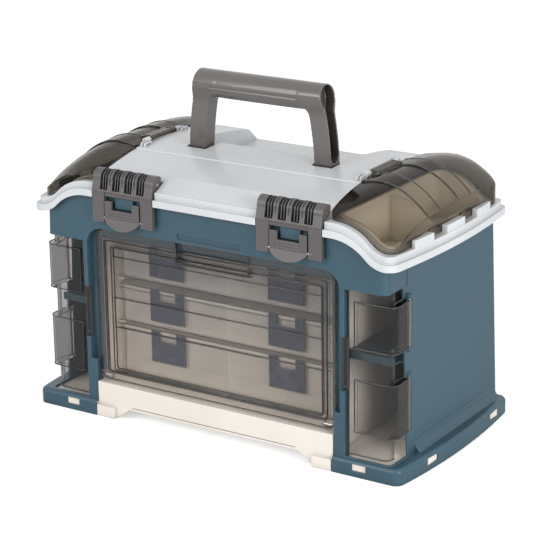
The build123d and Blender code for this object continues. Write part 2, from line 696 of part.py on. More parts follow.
def bay_wall():
    """The right wall beside the utility boxes, with a rail under each of the upper two."""
    back = BODY_BACK - WALL
    outer = BAY_HALF + BAY_WALL_THICK
    wall = block(BAY_HALF, outer, SURROUND_BACK, back, PLATE_TOP, BAY_TOP)
    swing = DOOR_HINGE_Y + DOOR_PIVOT_RISE + CORNER_GAP
    wall -= block(BAY_HALF - WALL, outer + WALL, SURROUND_BACK - WALL, swing, 0, DOOR_SWEEP_TOP)
    reach = BAY_HALF - RAIL_REACH
    for level in BOX_LEVELS[1:]:
        top = level - SEAT_GAP
        wall += block(reach, BAY_HALF, BOX_FRONT, back, top - RAIL_THICK, top)
    return wall


def bulk_floor():
    """The floor of the deep compartment under the lid, stepped up behind the door's finger pocket."""
    plate = case_block(WALL, BAY_TOP, BAY_TOP + FLOOR_THICK)
    front = DOOR_FRONT + GRIP_POCKET_DEPTH + DOOR_WALL + CORNER_GAP
    back = front + FLOOR_THICK
    top = OPENING_TOP + WALL
    plate -= block(-COLUMN_OUTER, COLUMN_OUTER, BODY_FRONT, front, 0, TOP_LIMIT)
    plate += block(-COLUMN_OUTER, COLUMN_OUTER, front, back, BAY_TOP, top)
    return plate + block(-COLUMN_OUTER, COLUMN_OUTER, SURROUND_BACK, back, top - FLOOR_THICK, top)


def corner_shelf():
    """The shelf half way up the right corner compartment, with a raised front lip."""
    inner = BAY_HALF + BAY_WALL_THICK
    room = case_block(WALL, SHELF_LEVEL, SHELF_LEVEL + SHELF_LIP)
    room -= block(
        CORNER_SIDE - CORNER_WALL - CORNER_GAP, HALF_WIDTH, BODY_FRONT, CORNER_CUT_BACK + CORNER_GAP,
        0, TOP_LIMIT,
    )
    low, front = SHELF_LEVEL, SHELF_FRONT
    plate = block(inner, HALF_WIDTH, front, BODY_BACK, low, low + SHELF_THICK)
    lip = block(inner, HALF_WIDTH, front, front + SHELF_THICK, low, low + SHELF_LIP)
    return (plate + lip) & room


def lid_hinge_pin():
    """The rod through one rear hinge."""
    half = CASE_KNUCKLE / 2 + KNUCKLE_GAP + LID_KNUCKLE
    return rod_x(LID_PIN_RADIUS, LID_HINGE_X - half, LID_HINGE_X + half, LID_HINGE_Y, LID_HINGE_Z)


def door_hinge_pin():
    """The short pin between the right post and the front door."""
    x_end = DOOR_HALF + CORNER_GAP / 2 + DOOR_PIN_BITE
    x_start = BAY_HALF - KNUCKLE_GAP - DOOR_KNUCKLE_LENGTH
    return rod_x(DOOR_PIN_RADIUS, x_start, x_end, DOOR_HINGE_Y, DOOR_HINGE_Z)


def utility_tray(level, height):
    """The clear body of one utility box."""
    depth = BOX_BACK - BOX_FRONT
    y_mid = (BOX_BACK + BOX_FRONT) / 2
    top = level + height - BOX_LID_SKIRT
    width = BOX_WIDTH - 2 * BOX_RIM
    deep = depth - 2 * BOX_RIM
    radius = BOX_RADIUS - BOX_RIM
    tray = plan_prism(width, deep, radius, level, level + height - BOX_LID_THICK, 0, y_mid)
    tray += plan_prism(BOX_WIDTH, depth, BOX_RADIUS, top - BOX_WALL, top, 0, y_mid)
    hollow = plan_prism(
        width - 2 * BOX_WALL, deep - 2 * BOX_WALL, radius - BOX_WALL,
        level + BOX_WALL, level + height, 0, y_mid,
    )
    return tray - hollow


def utility_lid(level, height):
    """The clear lid of one utility box, with its skirt on the tray's rim."""
    depth = BOX_BACK - BOX_FRONT
    y_mid = (BOX_BACK + BOX_FRONT) / 2
    top = level + height
    lid = plan_prism(BOX_WIDTH, depth, BOX_RADIUS, top - BOX_LID_SKIRT, top, 0, y_mid)
    inset = 2 * BOX_LID_THICK
    return lid - plan_prism(
        BOX_WIDTH - inset, depth - inset, BOX_RADIUS - BOX_LID_THICK,
        top - 2 * BOX_LID_SKIRT, top - BOX_LID_THICK, 0, y_mid,
    )


def utility_latches(level, height):
    """Two snap latches of one utility box: a plate with two ears hooked on the lid."""
    top = level + height
    low = top - BOX_LATCH_HEIGHT
    latches = []
    for side in (1, -1):
        x0, x1 = side * BOX_LATCH_X - BOX_LATCH_WIDTH / 2, side * BOX_LATCH_X + BOX_LATCH_WIDTH / 2
        front = BOX_FRONT - SEAT_GAP - BOX_LATCH_THICK
        back = BOX_FRONT - SEAT_GAP
        plate = block(x0, x1, front, back, low, top - BOX_EAR_HEIGHT)
        plate += block(x0, x0 + BOX_EAR_WIDTH, front, back, top - BOX_EAR_HEIGHT, top)
        plate += block(x1 - BOX_EAR_WIDTH, x1, front, back, top - BOX_EAR_HEIGHT, top)
        bottom = plate.edges().filter_by(Axis.X).group_by(Axis.Z)[0].sort_by(Axis.Y)[0]
        latches.append(chamfer(bottom, BOX_LATCH_THICK / 2))
    return latches


def utility_dividers(level, height):
    """The cross dividers of one utility box, as separate plates."""
    low = level + BOX_WALL
    high = level + height - BOX_LID_SKIRT
    inset = BOX_RIM + BOX_WALL
    pitch = (BOX_WIDTH - 2 * inset) / (BOX_DIVIDERS + 1)
    first = -BOX_WIDTH / 2 + inset + pitch
    half = BOX_WALL / 2
    plates = []
    for index in range(BOX_DIVIDERS):
        x = first + index * pitch
        plates.append(block(x - half, x + half, BOX_FRONT + inset, BOX_BACK - inset, low, high))
    return plates


def crown_edges(drop, inset):
    """The lid's crowned outline in (Y, Z), lowered and drawn in for the inside."""
    front_foot = (CROWN_FRONT_FOOT[0] + inset, CROWN_FRONT_FOOT[1] - drop)
    front = (CROWN_FRONT[0] + inset / 2, CROWN_FRONT[1] - drop)
    top = (CROWN_TOP[0], CROWN_TOP[1] - drop)
    rear = (CROWN_REAR[0] - inset / 2, CROWN_REAR[1] - drop)
    rear_foot = (CROWN_REAR_FOOT[0] - inset, CROWN_REAR_FOOT[1] - drop)
    return front_foot, front, top, rear, rear_foot


def crown_face(drop, inset, low):
    """The region under the crown line, in (Y, Z)."""
    front_foot, front, top, rear, rear_foot = crown_edges(drop, inset)
    return make_face([
        Line((front_foot[0], low), front_foot),
        Line(front_foot, front),
        ThreePointArc(front, top, rear),
        Line(rear, rear_foot),
        Line(rear_foot, (rear_foot[0], low)),
        Line((rear_foot[0], low), (front_foot[0], low)),
    ])


def crown_block(drop, inset, low, half):
    """The crowned middle of the lid, with its rear top edge rounded."""
    solid = side_prism(crown_face(drop, inset, low), -half, half)
    level = CROWN_REAR[1] - drop
    ridge = [edge for edge in solid.edges().filter_by(Axis.X) if abs(edge.center().Z - level) < 0.5]
    return fillet(ridge, CROWN_REAR_ROUND)


def recess_face(drop, half_room):
    """The handle recess between the legs, open above and behind, in (Y, Z)."""
    behind = LID_DEPTH
    return polygon(
        (RECESS_START_Y - half_room, CROWN_TOP[1] + WALL), (RECESS_START_Y - half_room, CROWN_TOP[1] - drop),
        (RECESS_FLOOR_Y - half_room, RECESS_FLOOR_Z - drop), (behind, RECESS_FLOOR_Z - drop),
        (behind, TOP_LIMIT), (RECESS_START_Y - half_room, TOP_LIMIT),
    )


def leg_slot_face(room):
    """The plan of the right leg's slot, which widens inwards as the folded leg does."""
    lean = (LEG_INNER_FOOT - LEG_INNER_TOP) / (GRIP_Z - HANDLE_PIVOT_Z)
    near = LEG_SLOT_INNER - room
    far_y = RECESS_FLOOR_Y + room
    far = near - lean * (far_y - HANDLE_PIVOT_Y)
    outer = RECESS_HALF + room
    front = LEG_SLOT_FRONT - room
    return polygon((near, front), (outer, front), (outer, far_y), (far, far_y), (near, HANDLE_PIVOT_Y))


def handle_recess(room):
    """The room for the folded handle, or with room the shell round it."""
    cut = side_prism(recess_face(room, room), -RECESS_HALF - room, RECESS_HALF + room)
    low = LEG_SLOT_LOW - room
    slot = Pos(0, 0, low) * extrude(leg_slot_face(room), TOP_LIMIT - low, dir=(0, 0, 1))
    return cut + slot + mirrored(slot)


def lid_outline(inset):
    """An upright prism on the lid's plan, drawn in by inset."""
    return bowed_plan(LID_WIDTH, LID_DEPTH, LID_RADIUS, inset, 0, RIM_TOP + WALL)


def lid_rim():
    """The two-step rim with its S-shaped ends, cut short behind where the opening lid tilts in."""
    low = (lid_outline(0) & under_shoulder(RIM_LOW + RIM_STEP_HIGH)) - under_shoulder(RIM_LOW, -WALL)
    high = (lid_outline(RIM_STEP_IN) & under_shoulder(RIM_TOP)) - under_shoulder(RIM_LOW, -WALL)
    rear = block(-HALF_WIDTH, HALF_WIDTH, BODY_BACK, LID_DEPTH, 0, TOP_LIMIT)
    rear -= block(-SHOULDER_START, SHOULDER_START, 0, 2 * LID_DEPTH, 0, TOP_LIMIT)
    return low + high - (under_shoulder(BODY_EDGE + SEAT_GAP) & rear)


def lid_hollow():
    """The room under the rim and the deck of the lid."""
    low = lid_outline(WALL) & under_shoulder(RIM_LOW + RIM_STEP_HIGH - WALL, -WALL)
    high = lid_outline(WALL + RIM_STEP_IN) & under_shoulder(RIM_TOP - WALL, -WALL)
    return low + high


def seat_rib():
    """The rib under the deck that sits on the case's top edge."""
    outer = case_block(0, FLANGE_HEIGHT, RIM_TOP)
    ring = outer - case_block(WALL, FLANGE_HEIGHT - WALL, RIM_TOP + WALL)
    return (ring & under_shoulder(RIM_TOP - WALL / 2)) - under_shoulder(BODY_EDGE + SEAT_GAP, -WALL)


def latch_pocket(room):
    """The round pockets that the latch tops turn in, or with room the shell round them."""
    pockets = []
    for side in (1, -1):
        half = LATCH_NOTCH_HALF + room
        x0, x1 = side * LATCH_X - half, side * LATCH_X + half
        pockets.append(rod_x(LATCH_POCKET_RADIUS + room, x0, x1, LATCH_PIN_Y, LATCH_PIN_Z))
    return pockets[0] + pockets[1]


def slot_centres():
    """Offsets of the slots across a latch, from its middle."""
    first = -(LATCH_SLOTS - 1) / 2 * LATCH_SLOT_PITCH
    return [first + index * LATCH_SLOT_PITCH for index in range(LATCH_SLOTS)]


def latch_lugs():
    """The lugs of the lid that stand in the latch slots round the latch pins."""
    lugs = None
    half = LATCH_SLOT_WIDTH / 2 - LUG_SIDE_GAP
    foot = LATCH_PIN_Z - LATCH_POCKET_RADIUS - WALL / 2
    back, front = LATCH_PIN_Y + LUG_WEB / 2, LATCH_PIN_Y - LUG_WEB / 2
    for side in (1, -1):
        for offset in slot_centres():
            x = side * LATCH_X + offset
            lug = rod_x(LUG_RADIUS, x - half, x + half, LATCH_PIN_Y, LATCH_PIN_Z)
            lug += block(x - half, x + half, front, back, foot, LATCH_PIN_Z)
            lugs = lug if lugs is None else lugs + lug
    return lugs


def bin_hole(side):
    """The room cut through the lid's deck for one bin."""
    low, high = RIM_LOW - SHOULDER_DROP - WALL, RIM_TOP + WALL
    x_mid, y_mid = side * (BIN_INNER + BIN_OUTER) / 2, (BIN_BACK + BIN_FRONT) / 2
    return plan_prism(BIN_OUTER - BIN_INNER, BIN_BACK - BIN_FRONT, BIN_RADIUS, low, high, x_mid, y_mid)


def lid_shell():
    """The lid moulding: crown, rim, handle recess, latch pockets, hinge knuckles and bin openings."""
    far = CASE_WIDTH
    body = lid_rim() + crown_block(0, 0, RIM_LOW + WALL, CROWN_HALF)
    raised = side_prism(crown_face(-CROWN_LINE_STEP, 0, RIM_TOP), -CROWN_HALF, CROWN_HALF)
    body += raised & block(-CROWN_HALF, CROWN_HALF, -CROWN_LINE_Y, CROWN_LINE_Y, RIM_TOP, TOP_LIMIT)
    outer = body
    body -= lid_hollow()
    body -= crown_block(WALL, WALL, RIM_LOW - WALL, CROWN_HALF - WALL)
    body += seat_rib()
    above_deck = block(-far, far, -far, far, RIM_TOP - WALL, TOP_LIMIT)
    body += (latch_pocket(WALL) & outer) + (handle_recess(WALL) & outer & above_deck)
    body -= latch_pocket(0)
    body -= handle_recess(0)
    for side in (1, -1):
        x0, x1 = side * LATCH_X - LATCH_NOTCH_HALF, side * LATCH_X + LATCH_NOTCH_HALF
        body -= block(x0, x1, -far, LATCH_NOTCH_BACK, RIM_LOW - WALL, LATCH_PIN_Z + LATCH_POCKET_RADIUS)
    body += latch_lugs()
    half = LATCH_HALF + WALL
    for side in (1, -1):
        x = side * LATCH_X
        body -= rod_x(LATCH_PIN_RADIUS, x - half, x + half, LATCH_PIN_Y, LATCH_PIN_Z)
        body -= bin_hole(side)
    body = add_cover_seats(body)
    body = add_rear_knuckles(body)
    body -= handle_pin_hole(1) + handle_pin_hole(-1)
    return body


def add_cover_seats(body):
    """Catch blocks at the rim and hinge knuckles at the crown for the end covers."""
    rim_end = RIM_TOP - SHOULDER_DROP
    edge = bowed_plan(LID_WIDTH, LID_DEPTH, LID_RADIUS, RIM_STEP_IN, 0, TOP_LIMIT)
    for side in (1, -1):
        for y0, y1 in CATCH_BLOCKS:
            x0, x1 = sorted((side * CATCH_BLOCK_IN, side * CATCH_BLOCK_OUT))
            body += block(x0, x1, y0, y1, rim_end - WALL, CATCH_BLOCK_HIGH) & edge
        x = side * COVER_HINGE_X
        half = COVER_TONGUE / 2 + KNUCKLE_GAP
        y0, y1 = -half, half
        body -= rod_y(COVER_BARREL_RADIUS + KNUCKLE_GAP, y0, y1, x, COVER_HINGE_Z)
        groove = COVER_HINGE_Z - COVER_BARREL_RADIUS - KNUCKLE_GAP
        x0, x1 = sorted((x, side * COVER_INNER))
        body -= block(x0, x1, y0, y1, groove, TOP_LIMIT)
        for start in (y0 - COVER_KNUCKLE, y1):
            end = start + COVER_KNUCKLE
            knuckle = rod_y(COVER_BARREL_RADIUS, start, end, x, COVER_HINGE_Z)
            base0, base1 = sorted((side * (CROWN_HALF - 2 * WALL), side * CROWN_HALF))
            knuckle += block(base0, base1, start, end, CROWN_REAR[1], COVER_HINGE_Z)
            body += knuckle
        pin_half = half + COVER_KNUCKLE
        body -= rod_y(COVER_PIN_RADIUS, -pin_half, pin_half, x, COVER_HINGE_Z)
    return body


def add_rear_knuckles(body):
    """Notches for the case's brackets and the lid's own hinge knuckles at the rear."""
    half = CASE_KNUCKLE / 2 + KNUCKLE_GAP
    barrel_front = LID_HINGE_Y - LID_BARREL_RADIUS - 2 * KNUCKLE_GAP
    for side in (1, -1):
        x = side * LID_HINGE_X
        top = LID_HINGE_Z + LID_BARREL_RADIUS + 2 * KNUCKLE_GAP
        body -= block(x - half, x + half, barrel_front, LID_DEPTH, 0, top)
        for start in (x - half - LID_KNUCKLE, x + half):
            end = start + LID_KNUCKLE
            knuckle = rod_x(LID_BARREL_RADIUS, start, end, LID_HINGE_Y, LID_HINGE_Z)
            face = polygon(
                (HALF_LID_DEPTH - WALL, LID_HINGE_Z), (LID_HINGE_Y + LID_BARREL_RADIUS, LID_HINGE_Z),
                (HALF_LID_DEPTH, RIM_LOW + RIM_STEP_HIGH), (HALF_LID_DEPTH - WALL, RIM_LOW + RIM_STEP_HIGH),
            )
            body += knuckle + side_prism(face, start, end)
        pin_half = half + LID_KNUCKLE
        body -= rod_x(LID_PIN_RADIUS + RUN_GAP, x - pin_half, x + pin_half, LID_HINGE_Y, LID_HINGE_Z)
    return body


def handle_pin_hole(side):
    """The room of one handle pin in the lid."""
    x0, x1 = sorted((side * (LEG_SLOT_INNER - WALL), side * (RECESS_HALF + WALL)))
    return rod_x(HANDLE_PIN_RADIUS, x0, x1, HANDLE_PIVOT_Y, HANDLE_PIVOT_Z)


def bin_tray():
    """The pale bin under the right end cover, with a lip on the lid's deck and one divider."""
    x_mid, y_mid = (BIN_INNER + BIN_OUTER) / 2, (BIN_BACK + BIN_FRONT) / 2
    width = BIN_OUTER - BIN_INNER - 2 * SEAT_GAP
    depth = BIN_BACK - BIN_FRONT - 2 * SEAT_GAP
    radius = BIN_RADIUS - SEAT_GAP
    top = RIM_TOP + SEAT_GAP
    under_lip = under_shoulder(top + BIN_LIP_THICK)
    grow = 2 * BIN_LIP
    tray = plan_prism(width, depth, radius, BIN_LOW, TOP_LIMIT, x_mid, y_mid) & under_lip
    lip = plan_prism(width + grow, depth + grow, radius + BIN_LIP, BIN_LOW, TOP_LIMIT, x_mid, y_mid)
    tray += (lip & under_lip) - under_shoulder(top, -WALL)
    tray -= plan_prism(
        width - 2 * BIN_WALL, depth - 2 * BIN_WALL, radius - BIN_WALL,
        BIN_LOW + BIN_WALL, TOP_LIMIT, x_mid, y_mid,
    )
    half = BIN_WALL / 2
    divider = block(BIN_INNER + 1, BIN_OUTER - 1, y_mid - half, y_mid + half, BIN_LOW + 1, TOP_LIMIT)
    return tray + (divider & under_shoulder(top - BIN_LIP_THICK))


def cover_drop(y):
    """How far the end cover lies below its ridge at y, fuller behind than in front."""
    (y0, z0), (y1, z1), (y2, z2) = CROWN_FRONT, CROWN_TOP, CROWN_REAR
    slope = (z0 - CROWN_FRONT_FOOT[1]) / (y0 - CROWN_FRONT_FOOT[0])
    if y < y0:
        return z1 - z0 + slope * (y0 - y)
    if y < y1:
        return (z1 - z0) * ((y - y1) / (y0 - y1)) ** 3
    return COVER_REAR_DROP * ((y - y1) / (y2 - y1)) ** 4


def spine_level(x):
    """Height of the end cover's ridge at x from its inner edge, smoothed between the spine points."""
    points = COVER_SPINE
    index = max(i for i in range(len(points) - 1) if x >= points[i][0] or i == 0)
    (x0, z0), (x1, z1) = points[index], points[index + 1]
    slopes = [(q[1] - p[1]) / (q[0] - p[0]) for p, q in zip(points, points[1:])]
    start = slopes[0] if index == 0 else (slopes[index - 1] + slopes[index]) / 2
    end = slopes[-1] if index == len(slopes) - 1 else (slopes[index] + slopes[index + 1]) / 2
    t, span = (x - x0) / (x1 - x0), x1 - x0
    rise = z0 * (1 + 2 * t) * (1 - t) ** 2 + z1 * t * t * (3 - 2 * t)
    return rise + span * (start * t * (1 - t) ** 2 - end * t * t * (1 - t))


def cover_bulk(grow, inset, corner):
    """The rounded bulk of the right end cover, grown or drawn in."""
    x_low, x_high = COVER_SPINE[0][0] - 2, COVER_SPINE[-1][0]
    rows = []
    for i in range(COVER_GRID + 1):
        x = x_low + (x_high - x_low) * i / COVER_GRID
        row = []
        for j in range(2 * COVER_GRID + 1):
            y = COVER_FRONT - 2 + (COVER_BACK - COVER_FRONT + 4) * j / (2 * COVER_GRID)
            row.append(Vector(COVER_INNER + x, y, spine_level(x) - cover_drop(y) + grow))
        rows.append(row)
    skin = Face.make_surface_from_array_of_points(rows, tol=0.02)
    bulk = extrude(skin, 4 * SHOULDER_DROP, dir=(0, 0, -1))
    width = COVER_OUTER - COVER_INNER - 2 * inset
    depth = COVER_BACK - COVER_FRONT - 2 * inset
    x_mid, y_mid = (COVER_INNER + COVER_OUTER) / 2, (COVER_FRONT + COVER_BACK) / 2
    return bulk & plan_prism(width, depth, corner, RIM_LOW - 2 * SHOULDER_DROP, TOP_LIMIT, x_mid, y_mid)


def end_cover():
    """The smoky cover over the right bin: a domed shell with two raised bands, snap tabs and a tongue."""
    cover = cover_bulk(0, 0, COVER_CORNER)
    cover -= cover_bulk(-COVER_WALL, COVER_WALL, COVER_CORNER - COVER_WALL)
    cover -= under_shoulder(RIM_TOP + SEAT_GAP, -WALL)
    raised = cover_bulk(COVER_BAND_RISE, 0, COVER_CORNER) - cover_bulk(-COVER_WALL / 2, 0, COVER_CORNER)
    raised &= block(COVER_INNER, COVER_OUTER - 1, COVER_FRONT, COVER_BACK, COVER_TAB_HIGH, TOP_LIMIT)
    for side in (1, -1):
        y0, y1 = sorted((side * COVER_BAND_INNER, side * COVER_BAND_OUTER))
        cover += raised & block(COVER_INNER, COVER_OUTER, y0, y1, COVER_TAB_HIGH, TOP_LIMIT)
        cover += block(COVER_OUTER - 1, COVER_OUTER + COVER_TAB_OUT, y0, y1, COVER_TAB_LOW, COVER_TAB_HIGH)
    half = COVER_TONGUE / 2
    y0, y1 = -half, half
    cover += rod_y(COVER_BARREL_RADIUS, y0, y1, COVER_HINGE_X, COVER_HINGE_Z)
    low, high = COVER_HINGE_Z - COVER_BARREL_RADIUS, COVER_HINGE_Z + COVER_BARREL_RADIUS
    tongue = polygon(
        (COVER_HINGE_X, low), (COVER_HINGE_X, high), (TONGUE_END - 3, high - 1), (TONGUE_END, low + 1),
        (COVER_INNER + COVER_WALL, low - 4), (COVER_INNER, low - 4), (COVER_INNER, low),
    )
    cover += front_prism(tongue, y0, y1)
    return cover - rod_y(COVER_PIN_RADIUS + RUN_GAP, y0, y1, COVER_HINGE_X, COVER_HINGE_Z)


def cover_pin():
    """The hinge rod of the right end cover."""
    half = COVER_TONGUE / 2 + KNUCKLE_GAP + COVER_KNUCKLE
    return rod_y(COVER_PIN_RADIUS, -half, half, COVER_HINGE_X, COVER_HINGE_Z)


def leg_edge(foot, top, low):
    """One bowed edge of the right leg in (X, Z), from a level up to the middle of the grip."""
    rise = (low - HANDLE_PIVOT_Z) / (GRIP_Z - HANDLE_PIVOT_Z)
    start = foot + (top - foot) * rise
    middle = ((start + top) / 2 + LEG_BOW * (1 - rise), (low + GRIP_Z) / 2)
    return ThreePointArc((start, low), middle, (top, GRIP_Z))


def leg_face(inset, grow, low):
    """The right leg seen from the front, in (X, Z), drawn in at its inner side or grown at the outer."""
    inner = leg_edge(LEG_INNER_FOOT + inset, LEG_INNER_TOP + inset, low)
    outer = leg_edge(LEG_OUTER_FOOT + grow, GRIP_HALF_TOP + grow, low)
    return make_face([inner, Line(inner @ 1, outer @ 1), outer, Line(outer @ 0, inner @ 0)])


def leg_channel():
    """The hollow in the outer side of the right leg, round at its foot and wide at the grip's end."""
    half = LEG_DEPTH / 2 - CHANNEL_EDGE
    low = HANDLE_PIVOT_Z + CHANNEL_RISE + half
    inset = LEG_WIDTH_FOOT - CHANNEL_DEPTH
    outer = LEG_OUTER_FOOT + WALL
    channel = front_prism(leg_face(inset, WALL, low), GRIP_Y - half, GRIP_Y + half)
    floor = (leg_edge(LEG_INNER_FOOT + inset, LEG_INNER_TOP + inset, low) @ 0).X
    channel += rod_x(half, floor, outer, GRIP_Y, low)
    end = GRIP_HALF_TOP - CHANNEL_DEPTH
    return channel + rod_x(GRIP_RADIUS - CHANNEL_EDGE, end, outer, GRIP_Y, GRIP_Z)


def handle_frame():
    """The carrying handle: two leaning legs and a round grip, with channels open at the outer sides."""
    grip = Pos(0, GRIP_Y, GRIP_Z) * Rot(0, 90, 0) * Cylinder(GRIP_RADIUS, 2 * GRIP_HALF_TOP)
    grip = fillet(grip.edges().filter_by(GeomType.CIRCLE), GRIP_END_ROUND)
    foot = rod_x(LEG_DEPTH / 2, LEG_INNER_FOOT, LEG_OUTER_FOOT, HANDLE_PIVOT_Y, HANDLE_PIVOT_Z)
    leg = front_prism(leg_face(0, 0, HANDLE_PIVOT_Z), LEG_FRONT, LEG_BACK) + foot
    inner, outer = LEG_INNER_FOOT - WALL, LEG_OUTER_FOOT + WALL
    bore = rod_x(HANDLE_PIN_RADIUS + RUN_GAP, inner, outer, HANDLE_PIVOT_Y, HANDLE_PIVOT_Z)
    cut = leg_channel() + bore
    grip += leg
    grip += mirrored(leg)
    grip -= cut
    grip -= mirrored(cut)
    return grip - grip_insert_block(0)


def grip_insert_block(slack):
    """The room of the insert under the grip, less slack all round."""
    half, width = GRIP_INSERT_HALF - slack, GRIP_INSERT_WIDTH / 2 - slack
    low = GRIP_Z - GRIP_RADIUS
    high = low + 2 * GRIP_INSERT_THICK - slack
    room = block(-half, half, GRIP_Y - width, GRIP_Y + width, low - WALL, high)
    return room & rod_x(GRIP_RADIUS, -GRIP_HALF_TOP, GRIP_HALF_TOP, GRIP_Y, GRIP_Z)


def handle_pin(side):
    """One of the two pins that the handle turns on."""
    x0, x1 = sorted((side * (LEG_SLOT_INNER - WALL), side * (RECESS_HALF + WALL)))
    return rod_x(HANDLE_PIN_RADIUS, x0, x1, HANDLE_PIVOT_Y, HANDLE_PIVOT_Z)


def latch_strip():
    """The bent plate of a latch in (Y, Z): round over the pin, then straight down in front."""
    pin = LATCH_PIVOT
    start = polar(pin, LATCH_ARCH_RADIUS, LATCH_REAR_ANGLE)
    crest = polar(pin, LATCH_ARCH_RADIUS, 115)
    front = polar(pin, LATCH_ARCH_RADIUS, 185)
    inner_front = polar(pin, LATCH_BORE_RADIUS, 200)
    inner_crest = polar(pin, LATCH_BORE_RADIUS, 115)
    inner_start = polar(pin, LATCH_BORE_RADIUS, LATCH_REAR_ANGLE)
    back_low = (LATCH_FRONT_LOW + LATCH_PLATE, LATCH_LOW)
    back_high = (LATCH_FRONT_LOW + LATCH_PLATE, WINDOW_TOP)
    return make_face([
        ThreePointArc(start, crest, front),
        Line(front, (LATCH_FRONT_LOW, LATCH_LOW)),
        Line((LATCH_FRONT_LOW, LATCH_LOW), back_low),
        Line(back_low, back_high),
        Line(back_high, inner_front),
        ThreePointArc(inner_front, inner_crest, inner_start),
        Line(inner_start, start),
    ])


def latch_rib():
    """The side outline of a cheek or rib of a latch, in (Y, Z)."""
    pin = LATCH_PIVOT
    start = polar(pin, LATCH_ARCH_RADIUS, LATCH_REAR_ANGLE)
    crest = polar(pin, LATCH_ARCH_RADIUS, 115)
    front = polar(pin, LATCH_ARCH_RADIUS, 185)
    cheek_top = (LATCH_CHEEK_BACK, LATCH_PIN_Z - LATCH_BORE_RADIUS)
    under = polar(pin, LUG_RADIUS, -90)
    behind = polar(pin, LUG_RADIUS, -20)
    low = LATCH_SLOT_LOW - LATCH_SLOT_FLOOR
    return make_face([
        ThreePointArc(start, crest, front),
        Line(front, (LATCH_FRONT_LOW, low)),
        Line((LATCH_FRONT_LOW, low), (LATCH_CHEEK_BACK, low)),
        Line((LATCH_CHEEK_BACK, low), cheek_top),
        Line(cheek_top, under),
        ThreePointArc(under, polar(pin, LUG_RADIUS, -55), behind),
        Line(behind, start),
    ])


def latch_slot(x0, x1):
    """What is cut out of a latch for one slot: all but a thin skin round the lug."""
    bar_y = polar(LATCH_PIVOT, LATCH_ARCH_RADIUS, LATCH_SLOT_REAR_ANGLE)[0]
    bar_z = LATCH_PIN_Z + LATCH_BAR_RISE
    front, behind = LATCH_FRONT_LOW - WALL, LATCH_PIN_Y + 2 * LATCH_ARCH_RADIUS
    slot = block(x0, x1, front, bar_y, LATCH_SLOT_LOW, TOP_LIMIT)
    slot += block(x0, x1, front, behind, LATCH_SLOT_LOW, bar_z)
    skin_thick = LATCH_BORE_RADIUS - LATCH_SKIN_RADIUS
    reach = block(x0, x1, front, LATCH_PIN_Y, LATCH_PIN_Z - 2 * skin_thick, TOP_LIMIT)
    reach += block(x0, x1, front, bar_y, bar_z, TOP_LIMIT)
    skin = rod_x(LATCH_BORE_RADIUS, x0, x1, LATCH_PIN_Y, LATCH_PIN_Z) & reach
    skin += block(x0, x1, LATCH_CHEEK_BACK - skin_thick, LATCH_CHEEK_BACK, LATCH_SLOT_LOW, LATCH_PIN_Z)
    return slot - (skin - rod_x(LATCH_SKIN_RADIUS, x0, x1, LATCH_PIN_Y, LATCH_PIN_Z))


def latch_frame():
    """The right latch: a slotted arch on the pin, two cheeks and an open window for the lever."""
    frame = side_prism(latch_strip(), LATCH_X - LATCH_HALF, LATCH_X + LATCH_HALF)
    frame += side_prism(latch_rib(), LATCH_X - LATCH_HALF, LATCH_X + LATCH_HALF)
    for side in (1, -1):
        x0, x1 = sorted((LATCH_X + side * WINDOW_HALF, LATCH_X + side * LATCH_HALF))
        frame += block(x0, x1, LATCH_FRONT_LOW + 1, LATCH_CHEEK_BACK, LATCH_LOW, LATCH_SLOT_LOW)
    frame -= block(
        LATCH_X - WINDOW_HALF, LATCH_X + WINDOW_HALF, LATCH_FRONT_LOW - WALL, LATCH_CHEEK_BACK + WALL,
        LATCH_LOW - WALL, WINDOW_TOP,
    )
    for offset in slot_centres():
        x = LATCH_X + offset
        frame -= latch_slot(x - LATCH_SLOT_WIDTH / 2, x + LATCH_SLOT_WIDTH / 2)
    half = LATCH_HALF + WALL
    frame -= rod_x(LATCH_PIN_RADIUS + RUN_GAP, LATCH_X - half, LATCH_X + half, LATCH_PIN_Y, LATCH_PIN_Z)
    return frame - lever_pin()


